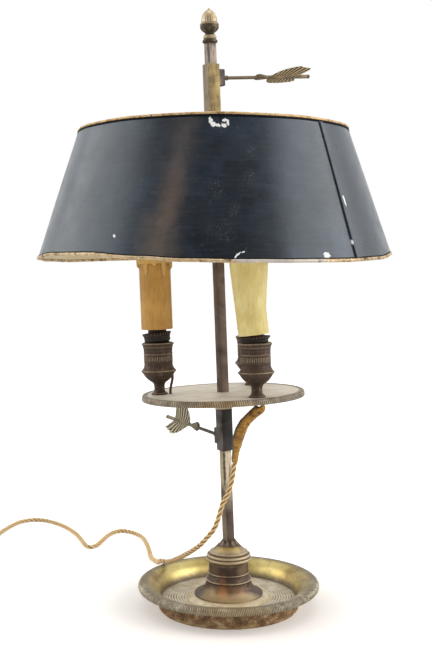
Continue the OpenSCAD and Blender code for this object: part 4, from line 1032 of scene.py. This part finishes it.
STEM_SIDE, STEM_FOOT, SLIDE_SIDE, SLIDE_BORE = 9, 21.4, 12.4, 9.16
bar = block((STEM_SIDE, STEM_SIDE, STEM_TOP - STEM_FOOT), (0, 0, (STEM_TOP + STEM_FOOT) / 2), 0.55, 3)
keep(dented(bar, STEM_SIDE, 4), "stem_square_bar", "stem_bronze", "base", ("stem",), on_stem(0) @ turn(STEM_TURN))
for body, finish, low, high in (("shade", "sleeve_brass", 478, 552), ("tray", "sleeve_dark", 163, 217.4)):
    keep(dented(square_tube(SLIDE_SIDE, SLIDE_BORE, low, high), SLIDE_SIDE, 3), body + "_slide", finish, body,
         (body + "_sleeve",), on_stem(0) @ turn(STEM_TURN))
for name, node, body, at in (("shade_screw_boss", "shade_boss", "shade", on_key(*SHADE_SCREW)),
                             ("tray_screw_boss", "tray_boss", "tray", on_key(*TRAY_SCREW))):
    keep(dented(block((7.5, 9, 16.5), (-3.75, 0, 0), 0.9, 3), 9, 1.5, 0.1), name, "boss_bronze", body, (node,), at)


# ---- Arrow keys ----
# How far the knot of the arrow stands out above and below its shaft, along its length
KNOT_LONG = 16
KNOT_ABOVE = ((0, 1), (2, 5), (4.6, 5.8), (7, 5.4), (9.6, 4.2), (12, 3.6), (14, 2.4), (KNOT_LONG, 1.6))
KNOT_BELOW = ((0, 1), (2, 3.5), (4.6, 4.1), (7, 3.9), (9.6, 3.1), (12, 2.8), (14, 2), (KNOT_LONG, 1.6))


def key_shaft():
    """A turned screw and neck, the knot on it, and the quill with its rounded end."""
    turned = ([(0, -8.8), (1.9, -8.8)] + finer([(1.9, -8.4), (1.9, 0.8)], 1) + [(2.2, 1)]
              + arc((2.1, 1.5), 0.5, -70, 70, 4) + [(2.1, 2.2), (2.1, 3.8)] + arc((2.1, 4.5), 0.5, -70, 70, 4)
              + [(1.7, 5.2)] + finer([(1.7, 6), (1.7, 39)], 2) + [(0, 39)])

    def tied(run, angle):
        tall = between(KNOT_ABOVE if math.sin(angle) > 0 else KNOT_BELOW, min(run, KNOT_LONG))
        thick = 1.9 * min(1, 0.35 + run / 3, 0.7 + (KNOT_LONG - run) / 8)
        r = 1 / math.sqrt((math.cos(angle) / thick) ** 2 + (math.sin(angle) / tall) ** 2)
        band = math.sin(run * 2 * math.pi / 3.2 + 0.8 * math.cos(angle))
        return r + 0.1 * band - 0.05, 0.1 * band

    line = [Vector((37.5 + k * 0.4, 0, 0)) for k in range(41)]
    quill = ([(0, -2.5), (1.5, -2.5), (1.9, 0)] + finer([(1.9, 1), (1.9, 50)], 2) + [(1.5, 50.6)]
             + arc((0, 52.3), 2.1, -45, 89, 10) + [(0, 54.4)])
    return join(moved(spun(turned, 40, dull_cast(0.06, 0.35)), turn(90, "Y")),
                swept(line, tied, 32, up=Vector((0, 1, 0))),
                moved(spun(quill, 32, lambda r, a, z: 0.08 * math.cos(z * 3) if r > 1 else 0),
                      shift(x=53.5) @ turn(90, "Y")))


def key_feathers(count, deep, *edges):
    """Two vanes of so many barbs, notched so deep, on a quill.

    Each point of an edge is given as a share of the length and a distance out.
    """
    long, root = 54.0, 0.8
    vanes = []
    for side, marks in zip((1, -1), edges):
        edge = evenly([Vector((x * long, y)) for x, y in [(marks[0][0], root)] + list(marks)], 0.5)

        def barbs(u, w):
            out, over = 1 - abs(2 * w - 1), math.copysign(1, 0.5 - w)
            rim = edge[round(u * (len(edge) - 1))]
            foot = Vector(((marks[0][0] + (0.7 - marks[0][0]) * u) * long, root * 0.3))
            ridge = math.cos(2 * math.pi * u * count)
            at = foot.lerp(rim, out * (1 - deep * max(0, -ridge) ** 2 * out ** 4))
            ends = min(1, 9 * u, 9 * (1 - u))
            thick = (0.66 - 0.3 * out) * math.sqrt(max(0, 1 - out ** 6)) * ends ** 0.5
            thick += 0.26 * ridge * ends * (0 < out < 0.99)
            thick = max(thick, 0) if 0 < u < 1 and out < 1 else 0
            return Vector((at.x, over * thick, at.y)), (0.26 * ridge if out < 0.97 else 0.15) * ends

        vane = laid_grid(150, 24, barbs)
        bmesh.ops.remove_doubles(vane, verts=vane.verts, dist=0.003)
        moved(vane, turn(-8, "X"))
        if side < 0:
            bmesh.ops.transform(vane, matrix=Matrix.Diagonal((1, 1, -1, 1)), verts=vane.verts)
        bmesh.ops.holes_fill(vane, edges=[e for e in vane.edges if e.is_boundary], sides=0)
        bmesh.ops.recalc_face_normals(vane, faces=vane.faces)
        vanes.append(vane)
    return moved(join(*vanes), shift(x=53.5))


TALL = ((0.05, 0.8), (0.1, 3.4), (0.18, 7.4), (0.28, 10.8), (0.4, 13.2), (0.54, 15.4), (0.67, 16.6),
        (0.72, 14.6), (0.78, 14.2), (0.93, 12.6), (0.9, 9), (0.74, 4.6))
WIDE = ((0.05, 0.8), (0.06, 6), (0.1, 12), (0.18, 18), (0.3, 21), (0.45, 21.5), (0.58, 20.5), (0.64, 15), (0.62, 6))
FULL = ((0.04, 0.8), (0.06, 7), (0.12, 11.5), (0.2, 13.8), (0.4, 14.4), (0.53, 13.6), (0.69, 12), (0.755, 9),
        (0.7, 5))
SWEPT_BACK = ((0.08, 0.8), (0.2, 5), (0.325, 9.7), (0.45, 13.5), (0.6, 16), (0.75, 16), (0.8, 14), (0.97, 11.9),
              (0.9, 9), (0.72, 4.5))
for body, at, spin, finish, fine, plan in (
        ("shade_key", on_key(*SHADE_SCREW), 64, "arrow_bronze", "feather_bronze", (11, 0.04, TALL, FULL)),
        ("tray_key", on_key(*TRAY_SCREW), 12, "low_arrow_bronze", "low_feather_bronze", (9, 0.1, WIDE, SWEPT_BACK))):
    place = at @ turn(-3.4, "Y") @ turn(spin, "X")
    keep(key_shaft(), body + "_shaft", finish, body, (body,), place)
    keep(key_feathers(*plan), body + "_vanes", fine, body, (body + "_feathers",), place)


# ---- Finial ----
at_top = on_stem(STEM_TOP)
keep(spun([(2.6, 0), (7.2, 0), (7.5, 0.4)] + finer([(7.5, 0.6), (7.5, 2)], 0.4) + [(7.2, 2.6), (2.6, 2.6)],
          96, dull_cast(), closed=True), "finial_base_flange", "dark_bronze", "finial", ("finial_flange",), at_top)
keep(spun([(2.6, 2.6), (5.8, 2.6)] + arc((4.3, 5.05), 2.4, -66, 66, 12) + [(5.8, 7.5), (2.6, 7.5)], 96, dull_cast(),
          closed=True), "finial_neck_ring", "cream_brass", "finial", ("finial_ring",), at_top)
cup = ([(0, 7.5), (4.5, 7.5), (4.5, 9.1)] + curve((4.9, 9.7), (7.9, 11.5), (9.3, 14.4), 12)
       + [(9.3, 15.4), (9.3, 16.4)] + curve((9.3, 16.4), (9.2, 19), (8.2, 19), 6) + [(0, 19)])


def acorn_cup(r, angle, z):
    if 10 < z < 15.2:
        return 0.1 * math.cos(8 * angle) * math.sin((z - 10) / 5.2 * math.pi)
    return 0.26 if z > 17.2 and r > 7.4 else 0.04 * around(r, angle, z, 0.3)


keep(spun(cup, 144, acorn_cup), "finial_acorn_cup", "dark_bronze", "finial", ("finial_cup",), at_top, sharp=None)
acorn = ([(0, 0), (7.5, 0), (8, 1)] + curve((8, 1), (8, 9.9), (2.4, 12.9), 16)
         + curve((2.4, 12.9), (1, 13.5), (0.8, 15), 5) + [(0, 15.1)])


def ribbed_nut(r, angle, z):
    return 0.08 * (math.cos(20 * angle) - 0.1) * min(1, z / 1.5, max(0, (7.6 - z) / 2)) if r > 4 else 0


keep(spun(finer(acorn, 0.7), 240, ribbed_nut), "finial_acorn_nut", "acorn_nut", "finial", ("acorn_nut",),
     at_top @ shift(z=19), sharp=None)


# ---- Shade ----
def hand_rolled(r, angle, z):
    return 0.35 * around(r, angle, z, 0.012) + 0.05 * around(r, angle, z, 0.06)


slope = math.atan2(CONE_OUT, CONE_TALL)
inner = (-0.845 * math.cos(slope), -0.845 * math.sin(slope))
# How far the edges wander up or down the cone, by angle: old sheet that isn't true any more
TOP_WANDER = [(-180, -4.2), (-150, -2.2), (-120, -0.8), (-90, -0.2), (-60, -1.2), (-30, -2.4), (0, -3.2),
              (60, -1), (120, -1.5), (180, -4.2)]
BOTTOM_WANDER = [(-180, 1.2), (-168, 2.5), (-150, 6.4), (-130, 6.8), (-112, 3.6), (-98, 1.2), (-82, 0),
                 (-66, -0.6), (-48, -1), (-30, 0), (-12, 3.2), (0, 4.6), (20, 3), (60, 0), (110, -2.2),
                 (150, -2.6), (170, -0.8), (180, 1.2)]


def wander(marks, angle):
    """The edge's height at an angle, smooth between its marks."""
    for (a, p), (b, q) in zip(marks, marks[1:]):
        if angle <= b:
            t = (angle - a) / (b - a)
            return p + (q - p) * t * t * (3 - 2 * t)
    return marks[-1][1]


def slid(point):
    """Slides a point of the shade along the cone with its two edges."""
    angle = math.degrees(math.atan2(point.y, point.x))
    share = (point.z - BOTTOM_Z) / CONE_TALL
    rise = wander(BOTTOM_WANDER, angle) * (1 - share) + wander(TOP_WANDER, angle) * share
    r = math.hypot(point.x, point.y)
    k = (r - rise * CONE_OUT / CONE_TALL) / r
    return Vector((point.x * k, point.y * k, point.z + rise))


def hand_cut(bm):
    for v in bm.verts:
        v.co = slid(v.co)
    return bm


outer = finer([(BOTTOM_R, BOTTOM_Z), (TOP_R, TOP_Z)], 4)
shell = outer + [(r + inner[0], z + inner[1]) for r, z in reversed(outer)]
keep(hand_cut(spun(shell, 288, hand_rolled, closed=True)), "shade_shell", "shade_paint", "shade",
     ("shade_body",), on_shade(), sharp=50)
for edge, r, z, thick, side in (("top", TOP_R - 0.4, TOP_Z, 1.3, -1),
                                ("bottom", BOTTOM_R - 0.4, BOTTOM_Z, 1.6, 0.55)):
    wire = spun(arc((r, z), thick, 0, 337.5, 15), 400, lambda r, a, z: 0.1 * around(r, a, z, 0.25), closed=True)
    # Beside each wire, a thin ring on the sheet, marked one for its finish: a painted line of shade along the rolled
    # edge.
    near, far = z + math.copysign(thick - 0.3, side), z + math.copysign(thick, side) + side * 1.7
    corners = ((near, -0.3), (near, 0.35), (far, 0.3), (far, -0.3))
    line = spun([(cone_radius(t) + off, t) for t, off in corners], 288, closed=True)
    for v in line.verts:
        v[line.verts.layers.float["relief"]] = 1.0
    keep(hand_cut(join(wire, line)), "shade_" + edge + "_gilt_wire", "gilt_" + edge, "shade",
         ("shade_" + edge + "_wire",), on_shade(), sharp=None)


def folded_seam(u, w):
    """The lapped seam: a rounded fold along one side, lying flat on the sheet at the other."""
    angle, z = math.radians(-44.1 + 2.7 * u), -124 + 127.5 * w
    fold = 1.5 * math.sqrt(max(0, 1 - ((u - 0.2) / 0.22) ** 2)) if u < 0.42 else 0
    lift = max(fold, 0.9 * min(1, (1 - u) / 0.12)) if 0 < u < 1 and 0 < w < 1 else -0.2
    r = cone_radius(z) + lift * (1 + 0.12 * rough(w * 30, 0, 0))
    return slid(Vector((r * math.cos(angle), r * math.sin(angle), z))), 0


seam = laid_grid(20, 90, folded_seam)
bmesh.ops.holes_fill(seam, edges=[e for e in seam.edges if e.is_boundary], sides=0)
bmesh.ops.recalc_face_normals(seam, faces=seam.faces)
keep(seam, "shade_lapped_seam", "shade_paint", "shade", ("shade_seam",), on_shade(), sharp=60)


# ---- Tray ----
def milled_tray(r, angle, z):
    """Upright ribs on the tray's turned-over rim, and a groove inside it."""
    if r > 80.9 and z < 0.2:
        fade = min(1, (r - 80.9) / 0.7, (z + 6) / 0.8)
        return max(fade, 0) * (0.22 * math.cos(240 * angle + z * 0.7) + 0.16 * around(r, angle, z, 0.14))
    if 77.6 < r < 79.2 and z > -1:
        return -0.4
    return 0.06 * around(r, angle, z, 0.08) if z > -1.5 else 0


plate = ([(0, 0), (40, 0)] + finer([(60, 0), (76, 0)], 4)
         + [(77, 0), (77.7, 0), (78.4, 0), (79.1, 0), (79.6, 0.1), (80, 0.4)]
         + curve((80.2, 0.4), (82.4, 0.2), (82.6, -2.6), 9) + arc((81.6, -4.7), 1, 10, -90, 7)
         + [(80, -5.7), (80, -2), (0, -2)])
keep(spun(plate, 960, milled_tray), "tray_dished_plate", "tray_brass", "tray", ("tray_plate",), on_tray(), sharp=50)
under = ([(0, 0), (7.7, 0)] + arc((7.7, 1.6), 1.6, -90, 0, 8) + [(9.3, 2.2), (9, 3.4)]
         + curve((9, 4), (9.3, 9.6), (12.3, 13.6), 9) + [(12.3, 15.4), (0, 15.4)])
keep(spun(under, 128, dull_cast(0.08)), "tray_under_collar", "cream_brass", "tray", ("tray_collar",),
     on_tray() @ shift(z=-17.2))


# ---- Cups, drip rings, candles and bulbs ----
def worked_cup(r, angle, z):
    """A band of small dentils, fine turned lines above and below it, and the wear of old castings."""
    worn = 0.05 * around(r, angle, z, 0.35) - (0.09 if 2 < z < 20 else 0)
    if 34.2 < z < 39.2 and r > 14:
        return 0.26 * math.cos(52 * angle) * min(1, (z - 34.2) / 0.6, (39.2 - z) / 0.6) + worn
    for line, rise in ((24.6, 0.16), (29.2, -0.12), (31.2, -0.14), (41.4, 0.12), (43.6, -0.16), (46.6, -0.16),
                       (48.6, 0.08), (52.2, 0.14), (7.6, 0.12), (1.8, 0.1)):
        if abs(z - line) < 0.5:
            return rise + worn
    return worn


cup = finer([(0, 0), (8.2, 0), (8.2, 1.2)] + curve((8.2, 1.2), (5.4, 2.4), (5.4, 6), 6) + [(5.4, 9)]
            + curve((5.4, 9), (6, 12), (8, 13), 4) + curve((8.6, 13.4), (13.4, 16.5), (16.1, 22), 10)
            + arc((16.4, 24), 1.3, -60, 75, 8) + curve((16.7, 25.4), (14.4, 28), (14.4, 32), 7)
            + arc((14.3, 32.8), 0.5, -70, 70, 5) + [(14.4, 33.6), (14.4, 40.8)] + arc((14.3, 41.5), 0.5, -70, 70, 5)
            + curve((14.4, 42.2), (14.7, 48), (15.4, 49.8), 8) + arc((15.2, 51.5), 1.1, -70, 80, 7)
            + [(14.9, 53), (12.3, 53)], 0.75)
cup += [(12.3, 26), (0, 26)]
# Runs of wax on the left candle: angle, half width and how much lower each goes
RUNS = ((-118, 8, 11), (-57, 8, 13), (-88, 7, 2), (-15, 12, 5), (30, 11, 7), (85, 14, 4), (140, 10, 8), (-170, 9, 3))
for i, side in enumerate(("left", "right", "back")):
    keep(spun(cup, 312, worked_cup), side + "_candle_cup", "cup_bronze", "tray", (side + "_cup",), on_cup(i),
         sharp=None)
    high, top = RING_HEIGHTS[i], RING_TOPS[i]
    lift = 53.1 + 13.2 * abs(math.sin(math.radians(RING_TILTS[i])))
    ring = ([(11.3, -5), (11.8, -5), (11.8, 0), (13.2, 0)] + curve((13.2, 0.8), (12.9, high - 3), (top, high - 1), 8)
            + [(top, high), (top - 1, high), (11.9, high - 3.4), (11.3, 1)])
    keep(spun(ring, 160, lambda r, a, z: 0.07 * around(r, a, z, 0.5)
              + (0.12 * math.cos(30 * a) if z > high - 2.2 else 0), closed=True),
         side + "_drip_collar", "ring_bronze", "tray", (side + "_drip_ring",),
         on_cup(i) @ shift(RING_SHIFTS[i], 0, lift) @ turn(-RING_TILTS[i], "Y"), sharp=None)
    wide = (15.9, 14.9, 14.9)[i]

    def waxed(r, angle, z, i=i, wide=wide):
        """Runs of wax down from the top, thick on the left candle."""
        if r < wide - 0.6:
            return 0
        runs = 0.5 + 0.5 * noise.noise(Vector((math.cos(angle) * 2.4 + 9 * i, math.sin(angle) * 2.4, z * 0.03)))
        if i == 0:
            reach = 14.6
            for at, wide_run, longer in RUNS:
                off = abs((math.degrees(angle) - at + 180) % 360 - 180) / wide_run
                reach += longer * max(0, 1 - off ** 2) ** 0.6
            edge = max(0.0, min(1.0, (z - 80 + reach) / 1.2)) ** 0.5
            drip = (1.7 * edge + 0.7 * edge * (reach > 15.5)) * (0.85 + 0.3 * runs) * (1 if z < 79.6 else 0.8)
            return drip + 0.1 * around(r, angle, z, 0.3)
        return 0.14 * runs + 0.05 * around(r, angle, z, 0.4)

    sleeve = finer([(wide - 1.1, 0), (wide, 0), (wide, 79.6), (wide - 0.4, 80)], 1.2)
    sleeve += [(wide - 0.8, 80), (wide - 1.1, 79.7)]
    keep(spun(sleeve, 144, waxed, closed=True), side + "_candle_sleeve",
         "pale_sleeve" if i else "amber_sleeve", "tray", (side + "_candle",),
         on_candle(i) @ shift(z=CANDLE_LOWS[i]), sharp=50)
    glass = ([(0, 0), (6.4, 0)] + curve((6.6, 2), (6.8, 8), (11.9, 17.8), 8)
             + curve((11.9, 17.8), (16.9, 25.2), (17.5, 37), 10)
             + curve((17.5, 37), (16.9, 53.3), (3, 68.8), 14) + [(1.2, 72.5), (0.5, 73.7), (0, 74)])
    keep(spun(glass, 72), side + "_bulb_glass", "bulb_glass", "tray", (side + "_bulb",),
         on_candle(i) @ shift(z=CANDLE_LOWS[i] + 62.1), sharp=None)


# ---- Feed wires under the tray ----
WIRE_TURNS = (0, 100, 105)
WIRE_FALL = ((2.7, 19.5), (2.8, 16.5), (2, 12.5), (0.8, 8), (0.2, 4), (0, 1), (0, -2.8))
WIRE_RUNS = (((-51.5, -1.6), (-40, -8), (-20, -17), (2, -24), (22, -31), (33, -33.6)),
             ((31, -43.5), (33.4, -37.2)), ((26.6, 65), (21, 56), (21, 40), (26, 18), (33, -8), (35.8, -31.2)))
for i, side in enumerate(("left", "right", "back")):
    a, w = math.radians(CUP_ANGLES[i]), math.radians(WIRE_TURNS[i])
    fall = [(CUP_RADIUS * math.cos(a) + (10.9 + out) * math.cos(w),
             CUP_RADIUS * math.sin(a) + (10.9 + out) * math.sin(w), z)
            for out, z in WIRE_FALL]
    line = evenly(smooth_route(fall + [(x, y, -3.6) for x, y in WIRE_RUNS[i]], 6), 0.8)
    keep(swept(line, lambda run, angle: (1.3 + 0.04 * math.sin(run * 3.1) * math.cos(angle), 0), 14),
         side + "_feed_lead", "wire_rubber", "tray", (side + "_feed_wire",), on_tray(), sharp=None)
gland = [(0, -6.2)] + arc((4, -5.6), 0.6, -90, 0, 4) + finer([(4.6, -5.4), (4.6, -0.2)], 0.8) + [(4.4, 0), (0, 0)]
keep(spun(gland, 72, lambda r, a, z: -0.12 * (0.5 + 0.5 * math.cos(24 * a)) if r > 4.3 and z < -1 else 0),
     "cord_gland_bush", "dark_bronze", "tray", ("cord_gland",), on_gland())

# ---- Floor, light and surroundings ----
floor = bmesh.new()
bmesh.ops.create_circle(floor, cap_ends=True, radius=9, segments=96)
mesh = bpy.data.meshes.new("studio_floor")
floor.to_mesh(mesh)
floor.free()
shader, place = blank("studio_floor")
seen = add(shader, "LightPath").outputs["Is Camera Ray"]
away = add(shader, "VectorMath", [(0, place)], operation="LENGTH").outputs["Value"]
grit = sum_of("MULTIPLY_ADD", speckle(place, 900, 3.0), 0.03, -0.015)
away = sum_of("ADD", away, grit)
# Near the lamp the floor is warmer and its lift for the camera weaker: a painted warm shadow round the foot. Further
# out it is evenly white.
feed(mix(ramp(away, 0.065, 0.135), (0.86, 0.8, 0.74, 1), (0.86, 0.85, 0.83, 1)), shader, "Base Color")
put(shader, Roughness=0.9, Specular_IOR_Level=0.1)
feed(mix(ramp(away, 0.09, 0.27), (0.56, 0.55, 0.54, 1), (1, 1, 1, 1)), shader, "Emission Color")
feed(times(seen, 0.48), shader, "Emission Strength")
mesh.materials.append(FINISH["studio_floor"])
floor = bpy.data.objects.new("studio_floor", mesh)
bpy.context.scene.collection.objects.link(floor)


def soft_lamp(name, at, towards, size, watts, colour=(1, 0.97, 0.93)):
    lamp = bpy.data.lights.new(name, "AREA")
    lamp.shape, lamp.size, lamp.size_y, lamp.energy, lamp.color = "RECTANGLE", size[0], size[1], watts, colour
    stand = bpy.data.objects.new(name, lamp)
    stand.location = at
    stand.rotation_euler = (Vector(at) - Vector(towards)).to_track_quat("Z", "Y").to_euler()
    bpy.context.scene.collection.objects.link(stand)


soft_lamp("left_softbox", (-2.0, 0.2, 1.25), (0, 0, 0.3), (2.2, 1.9), 19)
soft_lamp("right_softbox", (2.0, -0.4, 1.15), (0, 0, 0.3), (2.2, 1.8), 30)
soft_lamp("top_softbox", (0, -0.3, 2.4), (0, 0, 0.2), (1.6, 1.4), 12)

# White all round, darker for reflections from the side where the room is
world = bpy.data.worlds.new("studio")
world.use_nodes = True
bpy.context.scene.world = world
ground = world.node_tree.nodes["Background"]
way = add(ground, "LightPath").outputs
dot = add(ground, "VectorMath", [(0, add(ground, "TexCoord").outputs["Generated"])], operation="DOT_PRODUCT")
dot.inputs[1].default_value = (0, -0.95, 0.3)
room = sum_of("MULTIPLY_ADD", ramp(dot.outputs["Value"], 0.9, 0.3), 0.8, 0.2)
white = sum_of("MAXIMUM", way["Is Camera Ray"], way["Is Transmission Ray"])
glossy = times(way["Is Glossy Ray"], room)
plain = times(sum_of("SUBTRACT", 1.0, sum_of("MAXIMUM", white, way["Is Glossy Ray"])), 0.62)
feed(sum_of("ADD", sum_of("ADD", white, glossy), plain), ground, "Strength")
put(ground, Color=(1, 1, 1, 1))

bpy.context.scene.view_settings.view_transform = "Standard"
